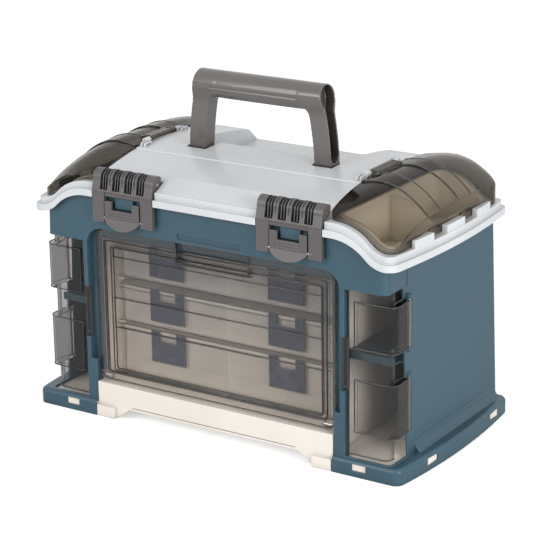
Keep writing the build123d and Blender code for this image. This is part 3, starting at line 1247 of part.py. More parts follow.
def latch_lever():
    """The right lever: two arms beside the catch block, a ribbed sill and a curved thumb tab."""
    outline = make_face([
        Line((-LEVER_HALF, LEVER_TAB_START), (-LEVER_HALF, LEVER_ARM_TOP)),
        Line((-LEVER_HALF, LEVER_ARM_TOP), (-LEVER_GAP_HALF, LEVER_ARM_TOP)),
        Line((-LEVER_GAP_HALF, LEVER_ARM_TOP), (-LEVER_GAP_HALF, LEVER_SILL)),
        Line((-LEVER_GAP_HALF, LEVER_SILL), (LEVER_GAP_HALF, LEVER_SILL)),
        Line((LEVER_GAP_HALF, LEVER_SILL), (LEVER_GAP_HALF, LEVER_ARM_TOP)),
        Line((LEVER_GAP_HALF, LEVER_ARM_TOP), (LEVER_HALF, LEVER_ARM_TOP)),
        Line((LEVER_HALF, LEVER_ARM_TOP), (LEVER_HALF, LEVER_TAB_START)),
        ThreePointArc((LEVER_HALF, LEVER_TAB_START), (0, LEVER_TAB_LOW), (-LEVER_HALF, LEVER_TAB_START)),
    ])
    side_view = polygon(
        (LEVER_ARM_BACK, LEVER_ARM_TOP), (LEVER_FRONT, LEVER_ARM_TOP), (LEVER_FRONT, LEVER_PIVOT_Z),
        (-FRONT_REACH, LEVER_TAB_LOW), (-FRONT_REACH + LATCH_PLATE, LEVER_TAB_LOW),
        (LEVER_BACK, LEVER_TAB_START - 2), (LEVER_BACK, LEVER_SILL), (LEVER_ARM_BACK, LEVER_SILL),
    )
    lever = front_prism(outline, -FRONT_REACH - WALL, LEVER_BACK + WALL)
    lever &= side_prism(side_view, -LEVER_HALF, LEVER_HALF)
    for index in range(LEVER_RIBS):
        z = LEVER_SILL - (index + 0.5) * LEVER_RIB_PITCH
        lever += block(
            -LEVER_GAP_HALF, LEVER_GAP_HALF, LEVER_FRONT - LEVER_RIB_HIGH, LEVER_FRONT + 1,
            z - LEVER_RIB_PITCH / 4, z + LEVER_RIB_PITCH / 4,
        )
    lever = Pos(LATCH_X, 0, 0) * lever
    half = LEVER_HALF + WALL
    return lever - rod_x(
        LEVER_PIN_RADIUS + RUN_GAP, LATCH_X - half, LATCH_X + half, LEVER_PIVOT_Y, LEVER_PIVOT_Z,
    )


def lever_pin():
    """The pin that the right lever turns on."""
    half = LEVER_HALF + LEVER_PIN_BITE
    return rod_x(LEVER_PIN_RADIUS, LATCH_X - half, LATCH_X + half, LEVER_PIVOT_Y, LEVER_PIVOT_Z)


def latch_pin():
    """The rod that the right latch turns on."""
    return rod_x(LATCH_PIN_RADIUS, LATCH_X - LATCH_HALF, LATCH_X + LATCH_HALF, LATCH_PIN_Y, LATCH_PIN_Z)


def door_layer(edge, low, high, radius, y0, y1):
    """One rounded step of the front door."""
    half = DOOR_HALF - edge
    face = Pos(0, (low + high) / 2) * RectangleRounded(2 * half, high - low, radius)
    return front_prism(face, y0, y1)


def front_door():
    """The smoky drop-down door: flange, two steps down to a banded panel, and a finger pocket."""
    front, wall = DOOR_FRONT, DOOR_WALL
    back = front + wall
    step_low, step_high = DOOR_LOW + DOOR_STEP_EDGE - wall, DOOR_TOP - DOOR_STEP_EDGE - wall
    step_front, panel_front = front + DOOR_STEP_DEPTH, front + DOOR_PANEL_DEPTH
    step, panel = DOOR_STEP_EDGE, DOOR_PANEL_EDGE
    panel_low, panel_top = DOOR_PANEL_LOW, DOOR_PANEL_TOP
    round_step, round_panel = DOOR_STEP_RADIUS, DOOR_PANEL_RADIUS
    door = door_layer(0, DOOR_LOW, DOOR_TOP, DOOR_RADIUS, front, back)
    door += block(-DOOR_HALF, DOOR_HALF, front, back, DOOR_LOW, DOOR_LOW + DOOR_RADIUS)
    step_back, panel_back = step_front + wall, panel_front + wall
    door += door_layer(step - wall, step_low - wall, step_high + wall, round_step + 1, front, step_back)
    door += door_layer(panel - wall, panel_low - wall, panel_top + wall, round_panel + 1, front, panel_back)
    door -= door_layer(step, step_low, step_high, round_step, front - WALL, step_front)
    door -= door_layer(panel, panel_low, panel_top, round_panel, front - WALL, panel_front)
    panel_half = DOOR_HALF - panel
    for low, high in ((LOWER_WINDOW_HIGH, UPPER_WINDOW_LOW), (UPPER_WINDOW_HIGH - 4, panel_top)):
        door += block(-panel_half, panel_half, panel_front - DOOR_BAND_STEP, panel_front + wall, low, high)
    pocket = GRIP_POCKET_HALF
    door += block(
        -pocket - wall, pocket + wall, front, front + GRIP_POCKET_DEPTH + wall,
        GRIP_POCKET_LOW - wall, DOOR_TOP,
    )
    door -= block(-pocket, pocket, front - WALL, front + GRIP_POCKET_DEPTH, GRIP_POCKET_LOW, DOOR_TOP + WALL)
    end = BAY_HALF - KNUCKLE_GAP
    for side in (1, -1):
        x0, x1 = sorted((side * (end - DOOR_KNUCKLE_LENGTH), side * end))
        door += rod_x(DOOR_KNUCKLE_RADIUS, x0, x1, DOOR_HINGE_Y, DOOR_HINGE_Z)
    for side in (1, -1):
        x0, x1 = sorted((side * (BAY_HALF - DOOR_KNUCKLE_LENGTH - WALL), side * (DOOR_HALF + 1)))
        door -= rod_x(DOOR_PIN_RADIUS + RUN_GAP, x0, x1, DOOR_HINGE_Y, DOOR_HINGE_Z)
    return door


def corner_prism(inner, side, front, leg_end, radius, low, high):
    """An upright block between two levels, with its right front corner rounded."""
    outline = polygon((inner, front), (side, front), (side, leg_end), (inner, leg_end))
    corner = [vertex for vertex in outline.vertices() if vertex.X > side - 1 and vertex.Y < front + 1]
    return Pos(0, 0, low) * extrude(fillet(corner, radius), high - low, dir=(0, 0, 1))


def corner_door():
    """The right corner door: an L-shaped smoky shell with two windows that stand out, on the hinge."""
    wall = CORNER_WALL
    rear = SEAM_Y - CORNER_KNUCKLE_RADIUS / 2
    side, front, leg = CORNER_SIDE, CORNER_FRONT, CORNER_SHORT_LEG_Y
    step = front - WINDOW_STEP
    outer, inner = CORNER_ROUND, CORNER_ROUND - wall
    door = corner_prism(CORNER_INNER_EDGE, side, front, leg, outer, CORNER_LOW, CORNER_HIGH)
    back = rear + wall
    rooms = corner_prism(0, side - wall, front + wall, back, inner, CORNER_LOW - WALL, CORNER_HIGH + WALL)
    for low, high in WINDOWS:
        door += corner_prism(WINDOW_INNER, WINDOW_SIDE, step, rear, outer, low, high)
        rooms += corner_prism(
            WINDOW_INNER + wall, WINDOW_SIDE - wall, step + wall, back, inner, low + wall, high - wall,
        )
    door -= rooms
    for low, high in WINDOWS:
        place = Pos(CORNER_HINGE_X, SEAM_Y, (low + high) / 2)
        door += place * Cylinder(CORNER_KNUCKLE_RADIUS, high - low)
        door += block(WINDOW_SIDE - wall, WINDOW_SIDE, SEAM_Y - 2 * CORNER_KNUCKLE_RADIUS, SEAM_Y, low, high)
    for low, high in WINDOWS:
        door -= corner_pin(low, high, CORNER_PIN_RADIUS + RUN_GAP)
    return door


def corner_catch():
    """The dark pull tab that slides on the right corner door's inner edge."""
    back = CORNER_FRONT - SEAT_GAP
    front = back - CATCH_THICK
    tab = block(CATCH_INNER, CATCH_OUTER, front, back, CATCH_LOW, CATCH_HIGH)
    edge = CATCH_GRIP_EDGE
    return tab - block(
        CATCH_INNER + edge, CATCH_OUTER - edge, front - WALL, front + CATCH_GRIP_DEPTH,
        CATCH_LOW + 2 * edge, CATCH_HIGH - 2 * edge,
    )


def corner_pins():
    """The two hinge rods of the right corner door."""
    return [corner_pin(low, high, CORNER_PIN_RADIUS) for low, high in WINDOWS]


def save(name, *shapes):
    """Writes one node, of one solid or of a group of separate ones."""
    solids = [solid for shape in shapes for solid in shape.solids()]
    export_step(Compound(children=solids) if len(solids) > 1 else solids[0], f"parts/{name}.step")


def save_pair(name, shape):
    """Writes a right-hand node and its left-hand twin."""
    save(f"{name}_right", shape)
    save(f"{name}_left", mirrored(shape))


os.makedirs("parts", exist_ok=True)
save("body_shell", body_shell())
save("base_plate", base_plate())
save("bulk_floor", bulk_floor())
save_pair("bay_wall", bay_wall())
save_pair("corner_shelf", corner_shelf())
save("lid_hinge_pins", lid_hinge_pin(), mirrored(lid_hinge_pin()))
save("door_hinge_pins", door_hinge_pin(), mirrored(door_hinge_pin()))
for number, (level, height) in enumerate(zip(BOX_LEVELS, BOX_HEIGHTS), start=1):
    save(f"utility_box_{number}_tray", utility_tray(level, height))
    save(f"utility_box_{number}_lid", utility_lid(level, height))
    save(f"utility_box_{number}_latches", *utility_latches(level, height))
    save(f"utility_box_{number}_dividers", *utility_dividers(level, height))
save("lid_shell", lid_shell())
save_pair("bin_tray", bin_tray())
save_pair("end_cover", end_cover())
save("cover_hinge_pins", cover_pin(), mirrored(cover_pin()))
save("handle_frame", handle_frame())
save("grip_insert", grip_insert_block(SEAT_GAP))
save("handle_pins", handle_pin(1), handle_pin(-1))
save_pair("latch_frame", latch_frame())
save_pair("latch_lever", latch_lever())
save_pair("lever_pin", lever_pin())
save("latch_hinge_pins", latch_pin(), mirrored(latch_pin()))
save("front_door", front_door())
save_pair("corner_door", corner_door())
save_pair("corner_catch", corner_catch())
for side_name, pins in (("right", corner_pins()), ("left", [mirrored(pin) for pin in corner_pins()])):
    save(f"corner_hinge_pins_{side_name}", *pins)
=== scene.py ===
import json
from math import cos, radians, sin

import bmesh
import bpy
import numpy as np
from mathutils import Matrix, Vector
from mathutils.bvhtree import BVHTree


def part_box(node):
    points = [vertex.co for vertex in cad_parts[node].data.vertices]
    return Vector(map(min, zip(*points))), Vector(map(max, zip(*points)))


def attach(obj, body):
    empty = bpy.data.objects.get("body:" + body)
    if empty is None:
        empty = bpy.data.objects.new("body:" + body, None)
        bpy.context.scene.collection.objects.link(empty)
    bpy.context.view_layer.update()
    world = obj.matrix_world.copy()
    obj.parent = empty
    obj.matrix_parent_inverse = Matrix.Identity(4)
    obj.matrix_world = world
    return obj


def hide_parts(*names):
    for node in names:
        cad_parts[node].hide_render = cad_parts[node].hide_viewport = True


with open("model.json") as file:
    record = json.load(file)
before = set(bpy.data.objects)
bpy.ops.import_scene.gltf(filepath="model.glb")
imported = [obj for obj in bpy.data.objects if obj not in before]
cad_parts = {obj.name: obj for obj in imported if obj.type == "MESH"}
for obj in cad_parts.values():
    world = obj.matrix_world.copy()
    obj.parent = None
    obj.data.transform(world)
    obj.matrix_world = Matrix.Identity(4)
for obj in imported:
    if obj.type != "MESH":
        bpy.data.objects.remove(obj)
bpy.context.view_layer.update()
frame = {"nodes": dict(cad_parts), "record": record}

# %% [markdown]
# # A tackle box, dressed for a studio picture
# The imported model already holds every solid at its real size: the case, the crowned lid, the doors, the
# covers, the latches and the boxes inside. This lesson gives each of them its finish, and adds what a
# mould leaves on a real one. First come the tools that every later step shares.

MM = 0.001
SIDES = ((-1, "left"), (1, "right"))
NODES = frame["nodes"]

# %% [markdown]
# ## The camera
# The photograph was taken from in front and a little above, from the right of the case, with a long lens
# about 2.8 m away. The angles and the distance below come from matching the case's edges and rims to the
# picture, so the render can be laid over it.

# %% Camera
CAMERA_AZIMUTH = 32.823
CAMERA_ELEVATION = 18.253
CAMERA_ROLL = -0.792
CAMERA_DISTANCE = 2.845067
CAMERA_AIM = Vector((0.000193, 0.012440, 0.186947))
SENSOR_WIDTH = 36.0
FOCAL_SHARE = 2088.711 / 550


def camera_turn(azimuth, elevation, roll):
    """The rotation of a camera that looks back along the given angles, in degrees."""
    az, el, ro = radians(azimuth), radians(elevation), radians(roll)
    back = Vector((sin(az) * cos(el), -cos(az) * cos(el), sin(el)))
    right = Vector((cos(az), sin(az), 0))
    up = back.cross(right)
    right_rolled = cos(ro) * right + sin(ro) * up
    up_rolled = -sin(ro) * right + cos(ro) * up
    return Matrix((right_rolled, up_rolled, back)).transposed(), back


turn, back = camera_turn(CAMERA_AZIMUTH, CAMERA_ELEVATION, CAMERA_ROLL)
camera_data = bpy.data.cameras.new("photo_camera")
camera_data.lens = FOCAL_SHARE * SENSOR_WIDTH
camera_data.sensor_width = SENSOR_WIDTH
camera = bpy.data.objects.new("photo_camera", camera_data)
bpy.context.collection.objects.link(camera)
camera.matrix_world = Matrix.Translation(CAMERA_AIM + back * CAMERA_DISTANCE) @ turn.to_4x4()
bpy.context.scene.camera = camera
bpy.context.scene.view_settings.view_transform = "Standard"
print("Camera at", [round(v, 3) for v in camera.matrix_world.translation])

# %% [markdown]
# ## Floor, world and lamps
# The picture has a plain white ground with a soft shadow close round the foot. The floor is a pale sheet
# that catches that shadow, and the world behind it is white for the camera and for reflections. One large
# soft lamp in front gives the bright lid slope, a second one low on the right opens up the end wall, and
# a faint one above keeps the crown from going flat.

# %% Floor and backdrop
FLOOR_SIZE = 12.0
FLOOR_DROP = 0.0006


def node_of(tree, kind, **inputs):
    """Adds a shader node and sets its named inputs."""
    node = tree.nodes.new(kind)
    for name, value in inputs.items():
        node.inputs[name.replace("_", " ")].default_value = value
    return node


def math_node(tree, operation, *values):
    """A math node with its inputs in order, None where a link will come."""
    node = tree.nodes.new("ShaderNodeMath")
    node.operation = operation
    for socket, value in zip(node.inputs, values):
        if value is not None:
            socket.default_value = value
    return node


def colour_mix(tree, **inputs):
    """A node that mixes two colours, A and B."""
    node = tree.nodes.new("ShaderNodeMix")
    node.data_type = "RGBA"
    for name, value in inputs.items():
        node.inputs[name].default_value = value
    return node


floor_mesh = bpy.data.meshes.new("floor")
half = FLOOR_SIZE / 2
corners = [(-half, -half, 0), (half, -half, 0), (half, half, 0), (-half, half, 0)]
floor_mesh.from_pydata(corners, [], [(0, 1, 2, 3)])
floor = bpy.data.objects.new("floor", floor_mesh)
bpy.context.collection.objects.link(floor)
floor.location.z = -FLOOR_DROP

floor_finish = bpy.data.materials.new("pale_floor")
floor_finish.use_nodes = True
tree = floor_finish.node_tree
tree.nodes.clear()
paper = node_of(tree, "ShaderNodeBsdfDiffuse", Color=(0.86, 0.86, 0.86, 1))
lift = node_of(tree, "ShaderNodeEmission", Color=(1, 1, 1, 1), Strength=0.5)
both = tree.nodes.new("ShaderNodeAddShader")
path = tree.nodes.new("ShaderNodeLightPath")
choose = tree.nodes.new("ShaderNodeMixShader")
output = tree.nodes.new("ShaderNodeOutputMaterial")
tree.links.new(paper.outputs[0], both.inputs[0])
tree.links.new(lift.outputs[0], both.inputs[1])
tree.links.new(path.outputs["Is Camera Ray"], choose.inputs[0])
tree.links.new(paper.outputs[0], choose.inputs[1])
tree.links.new(both.outputs[0], choose.inputs[2])
tree.links.new(choose.outputs[0], output.inputs["Surface"])
floor_mesh.materials.append(floor_finish)

# %% World and lamps
WORLD_LEVEL = 0.55
world = bpy.data.worlds.new("studio")
bpy.context.scene.world = world
world.use_nodes = True
tree = world.node_tree
tree.nodes.clear()
soft = node_of(tree, "ShaderNodeBackground", Color=(1, 1, 1, 1), Strength=WORLD_LEVEL)
white = node_of(tree, "ShaderNodeBackground", Color=(1, 1, 1, 1), Strength=1.0)
path = tree.nodes.new("ShaderNodeLightPath")
seen = math_node(tree, "MAXIMUM")
seen_too = math_node(tree, "MAXIMUM")
choose = tree.nodes.new("ShaderNodeMixShader")
output = tree.nodes.new("ShaderNodeOutputWorld")
tree.links.new(path.outputs["Is Camera Ray"], seen.inputs[0])
tree.links.new(path.outputs["Is Transmission Ray"], seen.inputs[1])
tree.links.new(seen.outputs[0], seen_too.inputs[0])
tree.links.new(path.outputs["Is Glossy Ray"], seen_too.inputs[1])
tree.links.new(seen_too.outputs[0], choose.inputs[0])
tree.links.new(soft.outputs[0], choose.inputs[1])
tree.links.new(white.outputs[0], choose.inputs[2])
tree.links.new(choose.outputs[0], output.inputs["Surface"])


def add_lamp(name, place, aim, size, watts):
    """A square area lamp at a place, turned towards its aim."""
    data = bpy.data.lights.new(name, "AREA")
    data.shape = "SQUARE"
    data.size = size
    data.energy = watts
    lamp = bpy.data.objects.new(name, data)
    lamp.location = place
    lamp.rotation_euler = (Vector(aim) - Vector(place)).to_track_quat("-Z", "Y").to_euler()
    bpy.context.collection.objects.link(lamp)


add_lamp("front_softbox", (-0.9, -2.6, 1.5), (0, 0, 0.25), 1.6, 36)
add_lamp("right_softbox", (2.4, -0.9, 0.8), (0.1, 0, 0.2), 1.2, 39)
add_lamp("top_softbox", (0.1, 0.5, 2.6), (0, 0, 0.3), 0.9, 2)
print("Three lamps and a white world")

# %% [markdown]
# Light has to pass many thin clear walls to reach the inside of the boxes: the door, a box's front, its
# lid and its dividers have two faces each. The ray limits are raised so that the back of the case isn't
# cut off in black.

# %% Ray limits for many clear walls
ray_limits = bpy.context.scene.cycles
ray_limits.max_bounces = 20
ray_limits.transmission_bounces = 20
ray_limits.transparent_max_bounces = 32

# %% [markdown]
# ## Shared effects
# Four things show on nearly every moulded part. Edges are never knife sharp, so a bevel of about a
# millimetre catches light along them. The faces carry a very fine spark-eroded grain. A used case is a
# touch paler on its edges, with a faint unevenness over large faces; where the edge colour is near white,
# as on the lid, the paler edge is a painted highlight along its steps and rim. And crevices get painted
# shade: darker colour where little light gets into them. The effects sit in one node group with named
# inputs, built once and given other values in each finish.

# %% A helper for node groups


def new_group(name, inputs, outputs, tree_kind="ShaderNodeTree"):
    """An empty node group with the named sockets, and its input and output nodes."""
    group = bpy.data.node_groups.new(name, tree_kind)
    for label, kind, value in inputs:
        socket = group.interface.new_socket(label, in_out="INPUT", socket_type="NodeSocket" + kind)
        if value is not None:
            socket.default_value = value
    for label, kind in outputs:
        group.interface.new_socket(label, in_out="OUTPUT", socket_type="NodeSocket" + kind)
    return group, group.nodes.new("NodeGroupInput"), group.nodes.new("NodeGroupOutput")


def place_group(tree, group, **values):
    """A group node in a material, with its own values."""
    node = tree.nodes.new("ShaderNodeGroup")
    node.node_tree = group
    for name, value in values.items():
        node.inputs[name.replace("_", " ")].default_value = value
    return node


# %% Edges, grain and unevenness
CREVICE_REACH = 12 * MM


def build_moulded_surface():
    """Rounded edges, fine grain and cloudy colour of a moulded plastic face, with paler edges and painted
    shade in its crevices.
    """
    group, start, end = new_group(
        "moulded_surface",
        [
            ("Colour", "Color", (0.5, 0.5, 0.5, 1)), ("Roughness", "Float", 0.4),
            ("Edge radius", "Float", 0.8 * MM), ("Grain size", "Float", 2500.0),
            ("Grain depth", "Float", 0.05), ("Cloud", "Float", 0.06), ("Edge wear", "Float", 0.15),
            ("Edge colour", "Color", (0.8, 0.8, 0.8, 1)), ("Crevice", "Float", 0.4),
            ("Crevice reach", "Float", CREVICE_REACH),
        ],
        [("Colour", "Color"), ("Roughness", "Float"), ("Normal", "Vector")],
    )
    nodes, links = group.nodes, group.links
    where = nodes.new("ShaderNodeTexCoord")
    grain = node_of(group, "ShaderNodeTexNoise", Detail=1.0)
    links.new(where.outputs["Object"], grain.inputs["Vector"])
    links.new(start.outputs["Grain size"], grain.inputs["Scale"])
    rounded = nodes.new("ShaderNodeBevel")
    rounded.samples = 6
    links.new(start.outputs["Edge radius"], rounded.inputs["Radius"])
    bump = node_of(group, "ShaderNodeBump", Distance=0.2 * MM)
    links.new(grain.outputs["Fac"], bump.inputs["Height"])
    links.new(start.outputs["Grain depth"], bump.inputs["Strength"])
    links.new(rounded.outputs["Normal"], bump.inputs["Normal"])
    cloud = node_of(group, "ShaderNodeTexNoise", Scale=9.0, Detail=3.0)
    links.new(where.outputs["Object"], cloud.inputs["Vector"])
    shade = node_of(group, "ShaderNodeMapRange", From_Min=0.3, From_Max=0.7, To_Min=-1.0)
    links.new(cloud.outputs["Fac"], shade.inputs["Value"])
    amount = math_node(group, "MULTIPLY_ADD", None, None, 1.0)
    links.new(shade.outputs["Result"], amount.inputs[0])
    links.new(start.outputs["Cloud"], amount.inputs[1])
    # Painted shade: ambient occlusion darkens the colour in crevices, as much as the Crevice input says.
    hollow = nodes.new("ShaderNodeAmbientOcclusion")
    hollow.samples = 6
    links.new(start.outputs["Crevice reach"], hollow.inputs["Distance"])
    openness = node_of(group, "ShaderNodeMapRange", From_Min=0.15, From_Max=0.9)
    links.new(hollow.outputs["AO"], openness.inputs["Value"])
    dim = math_node(group, "SUBTRACT", 1.0)
    links.new(start.outputs["Crevice"], dim.inputs[1])
    links.new(dim.outputs[0], openness.inputs["To Min"])
    level = math_node(group, "MULTIPLY")
    links.new(amount.outputs[0], level.inputs[0])
    links.new(openness.outputs["Result"], level.inputs[1])
    tint = nodes.new("ShaderNodeVectorMath")
    tint.operation = "SCALE"
    links.new(start.outputs["Colour"], tint.inputs[0])
    links.new(level.outputs[0], tint.inputs["Scale"])
    form = nodes.new("ShaderNodeNewGeometry")
    apart = nodes.new("ShaderNodeVectorMath")
    apart.operation = "DOT_PRODUCT"
    links.new(form.outputs["Normal"], apart.inputs[0])
    links.new(rounded.outputs["Normal"], apart.inputs[1])
    edge = node_of(group, "ShaderNodeMapRange", From_Min=0.995, From_Max=0.85)
    links.new(apart.outputs["Value"], edge.inputs["Value"])
    # Paler edges: wear on most parts, and a painted highlight where the edge colour is near white.
    wear_and_highlight = math_node(group, "MULTIPLY")
    links.new(edge.outputs["Result"], wear_and_highlight.inputs[0])
    links.new(start.outputs["Edge wear"], wear_and_highlight.inputs[1])
    paler = colour_mix(group)
    links.new(start.outputs["Edge colour"], paler.inputs["B"])
    links.new(wear_and_highlight.outputs[0], paler.inputs["Factor"])
    links.new(tint.outputs[0], paler.inputs["A"])
    links.new(paler.outputs["Result"], end.inputs["Colour"])
    rough = math_node(group, "MULTIPLY_ADD", None, 0.06)
    links.new(shade.outputs["Result"], rough.inputs[0])
    links.new(start.outputs["Roughness"], rough.inputs[2])
    links.new(rough.outputs[0], end.inputs["Roughness"])
    links.new(bump.outputs["Normal"], end.inputs["Normal"])
    return group


MOULDED_SURFACE = build_moulded_surface()
print("Shared group:", MOULDED_SURFACE.name)

# %% [markdown]
# ## The finishes
# The real case looks like four kinds of plastic: a satin one for the case, the base and the handle; a
# smoother silvery one for the lid; a smoky clear one for the doors and covers; and a nearly colourless
# one for the boxes. Opaque ones share one recipe with other numbers. The clear ones let shadow rays
# through with a tint, because otherwise the room inside would be black. The pins are drawn steel, and
# a fine noise in their roughness breaks up the shine.

# %% Opaque plastics


def srgb(red, green, blue):
    """A colour written as on a paint card, 0 to 255, in the linear values that the shader takes."""
    def linear(value):
        value /= 255
        return value / 12.92 if value <= 0.04045 else ((value + 0.055) / 1.055) ** 2.4
    return (linear(red), linear(green), linear(blue), 1.0)


def moulded_finish(
    name, colour, roughness, grain_depth=0.06, cloud=0.05, edge_radius=0.8 * MM, edge_wear_and_highlight=0.1,
    edge_colour=(0.8, 0.8, 0.8, 1), crevice=0.4, coat=0.0, crevice_reach=CREVICE_REACH,
):
    """A satin or glossy opaque plastic."""
    material = bpy.data.materials.new(name)
    material.use_nodes = True
    tree = material.node_tree
    plastic = tree.nodes["Principled BSDF"]
    plastic.inputs["IOR"].default_value = 1.46
    plastic.inputs["Coat Weight"].default_value = coat
    surface = place_group(
        tree, MOULDED_SURFACE, Colour=colour, Roughness=roughness, Edge_radius=edge_radius,
        Grain_depth=grain_depth, Cloud=cloud, Edge_wear=edge_wear_and_highlight, Edge_colour=edge_colour, Crevice=crevice,
        Crevice_reach=crevice_reach,
    )
    tree.links.new(surface.outputs["Colour"], plastic.inputs["Base Color"])
    tree.links.new(surface.outputs["Roughness"], plastic.inputs["Roughness"])
    tree.links.new(surface.outputs["Normal"], plastic.inputs["Normal"])
    return material


case_teal = moulded_finish("case_teal", srgb(55, 84, 98), 0.36, edge_wear_and_highlight=0.16)
inner_teal = moulded_finish("inner_teal", srgb(52, 74, 86), 0.5)
base_white = moulded_finish("base_white", srgb(234, 227, 218), 0.45)
bay_beige = moulded_finish("bay_beige", srgb(206, 198, 190), 0.5, crevice=0.2)
# The near-white edge colour and the strong edge value paint a highlight along the lid's steps and rim.
lid_silver = moulded_finish(
    "lid_silver", srgb(208, 211, 214), 0.26, grain_depth=0.03, edge_radius=1.2 * MM, edge_wear_and_highlight=0.9,
    edge_colour=(0.95, 0.95, 0.96, 1), crevice=0.35,
)
bin_white = moulded_finish("bin_white", srgb(244, 239, 230), 0.4, crevice=0.3)
# Strong, far-reaching painted shade in the handle's channels, through the crevice value and its reach.
handle_grey = moulded_finish(
    "handle_grey", srgb(100, 95, 93), 0.2, grain_depth=0.08, crevice=0.94, edge_wear_and_highlight=0.1, coat=0.4,
    crevice_reach=34 * MM,
)
# Strong painted shade in the latch's slots and gaps.
latch_grey = moulded_finish(
    "latch_grey", srgb(92, 87, 88), 0.34, edge_radius=0.6 * MM, edge_wear_and_highlight=0.3, crevice=0.75,
)
grip_soft = moulded_finish("grip_soft", srgb(78, 74, 74), 0.55, grain_depth=0.3)
latch_dark = moulded_finish("latch_dark", srgb(70, 67, 68), 0.35, crevice=0.7, edge_wear_and_highlight=0.3)
# A pale finish for the lips of the thumb tabs: a painted highlight where their lower edge catches the
# light.
tab_lip_highlight = moulded_finish("tab_lip_highlight", srgb(158, 155, 154), 0.35, crevice=0.2)
catch_black = moulded_finish("catch_black", srgb(30, 32, 35), 0.3, edge_wear_and_highlight=0.2)
utility_latch = moulded_finish("utility_latch", srgb(44, 52, 70), 0.25, grain_depth=0.02, edge_wear_and_highlight=0.2)
print("Opaque finishes ready")

# %% Clear plastics


def build_clear_moulding():
    """Where the edges of a clear moulding are, and the faint waves of its faces."""
    group, start, end = new_group(
        "clear_moulding",
        [("Edge radius", "Float", 1.2 * MM), ("Wave size", "Float", 30.0), ("Wave depth", "Float", 0.05)],
        [("Edge", "Float"), ("Normal", "Vector")],
    )
    nodes, links = group.nodes, group.links
    where = nodes.new("ShaderNodeTexCoord")
    waves = node_of(group, "ShaderNodeTexNoise", Detail=1.5)
    links.new(where.outputs["Object"], waves.inputs["Vector"])
    links.new(start.outputs["Wave size"], waves.inputs["Scale"])
    rounded = nodes.new("ShaderNodeBevel")
    rounded.samples = 5
    links.new(start.outputs["Edge radius"], rounded.inputs["Radius"])
    bump = node_of(group, "ShaderNodeBump", Distance=MM)
    links.new(waves.outputs["Fac"], bump.inputs["Height"])
    links.new(start.outputs["Wave depth"], bump.inputs["Strength"])
    links.new(rounded.outputs["Normal"], bump.inputs["Normal"])
    links.new(bump.outputs["Normal"], end.inputs["Normal"])
    form = nodes.new("ShaderNodeNewGeometry")
    apart = nodes.new("ShaderNodeVectorMath")
    apart.operation = "DOT_PRODUCT"
    links.new(form.outputs["Normal"], apart.inputs[0])
    links.new(rounded.outputs["Normal"], apart.inputs[1])
    edge = node_of(group, "ShaderNodeMapRange", From_Min=0.99, From_Max=0.8)
    links.new(apart.outputs["Value"], edge.inputs["Value"])
    links.new(edge.outputs["Result"], end.inputs["Edge"])
    return group


CLEAR_MOULDING = build_clear_moulding()


def build_height_fade():
    """One colour at a low level and another at a high one, blended between."""
    group, start, end = new_group(
        "height_fade",
        [
            ("Foot", "Float", 0.0), ("Head", "Float", 1.0), ("Foot colour", "Color", (1, 1, 1, 1)),
            ("Head colour", "Color", (0.5, 0.5, 0.5, 1)),
        ],
        [("Colour", "Color")],
    )
    nodes, links = group.nodes, group.links
    where = nodes.new("ShaderNodeTexCoord")
    apart = nodes.new("ShaderNodeSeparateXYZ")
    links.new(where.outputs["Object"], apart.inputs[0])
    level = nodes.new("ShaderNodeMapRange")
    level.interpolation_type = "SMOOTHSTEP"
    links.new(apart.outputs["Z"], level.inputs["Value"])
    links.new(start.outputs["Foot"], level.inputs["From Min"])
    links.new(start.outputs["Head"], level.inputs["From Max"])
    blend = colour_mix(group)
    links.new(level.outputs["Result"], blend.inputs["Factor"])
    links.new(start.outputs["Foot colour"], blend.inputs["A"])
    links.new(start.outputs["Head colour"], blend.inputs["B"])
    links.new(blend.outputs["Result"], end.inputs["Colour"])
    return group


HEIGHT_FADE = build_height_fade()
CLEAR_BEND = 1.12


def clear_finish(
    name, tint, edge_tint, grazing_tint, shadow_tint, waviness=0.05, gloss=1.0, clear=1.0, fade=None,
):
    """A clear or smoky plastic: darker at its edges and where seen at a slant, with a tinted shadow."""
    material = bpy.data.materials.new(name)
    material.use_nodes = True
    tree = material.node_tree
    plastic = tree.nodes["Principled BSDF"]
    plastic.inputs["Roughness"].default_value = 0.0
    plastic.inputs["Transmission Weight"].default_value = clear
    plastic.inputs["IOR"].default_value = CLEAR_BEND
    plastic.inputs["Coat Weight"].default_value = gloss
    plastic.inputs["Coat Roughness"].default_value = 0.05
    surface = place_group(tree, CLEAR_MOULDING, Wave_depth=waviness)
    slant = node_of(tree, "ShaderNodeLayerWeight", Blend=0.35)
    deeper = colour_mix(tree, A=tint, B=grazing_tint)
    if fade:
        foot, head, head_tint = fade
        by_height = place_group(
            tree, HEIGHT_FADE, Foot=foot, Head=head, Foot_colour=tint, Head_colour=head_tint,
        )
        tree.links.new(by_height.outputs["Colour"], deeper.inputs["A"])
    edged = colour_mix(tree, B=edge_tint)
    tree.links.new(slant.outputs["Facing"], deeper.inputs["Factor"])
    tree.links.new(deeper.outputs["Result"], edged.inputs["A"])
    tree.links.new(surface.outputs["Edge"], edged.inputs["Factor"])
    tree.links.new(edged.outputs["Result"], plastic.inputs["Base Color"])
    tree.links.new(surface.outputs["Normal"], plastic.inputs["Normal"])
    glow = node_of(tree, "ShaderNodeBsdfTransparent", Color=shadow_tint)
    path = tree.nodes.new("ShaderNodeLightPath")
    choose = tree.nodes.new("ShaderNodeMixShader")
    output = tree.nodes["Material Output"]
    tree.links.new(path.outputs["Is Shadow Ray"], choose.inputs[0])
    tree.links.new(plastic.outputs[0], choose.inputs[1])
    tree.links.new(glow.outputs[0], choose.inputs[2])
    tree.links.new(choose.outputs[0], output.inputs["Surface"])
    return material


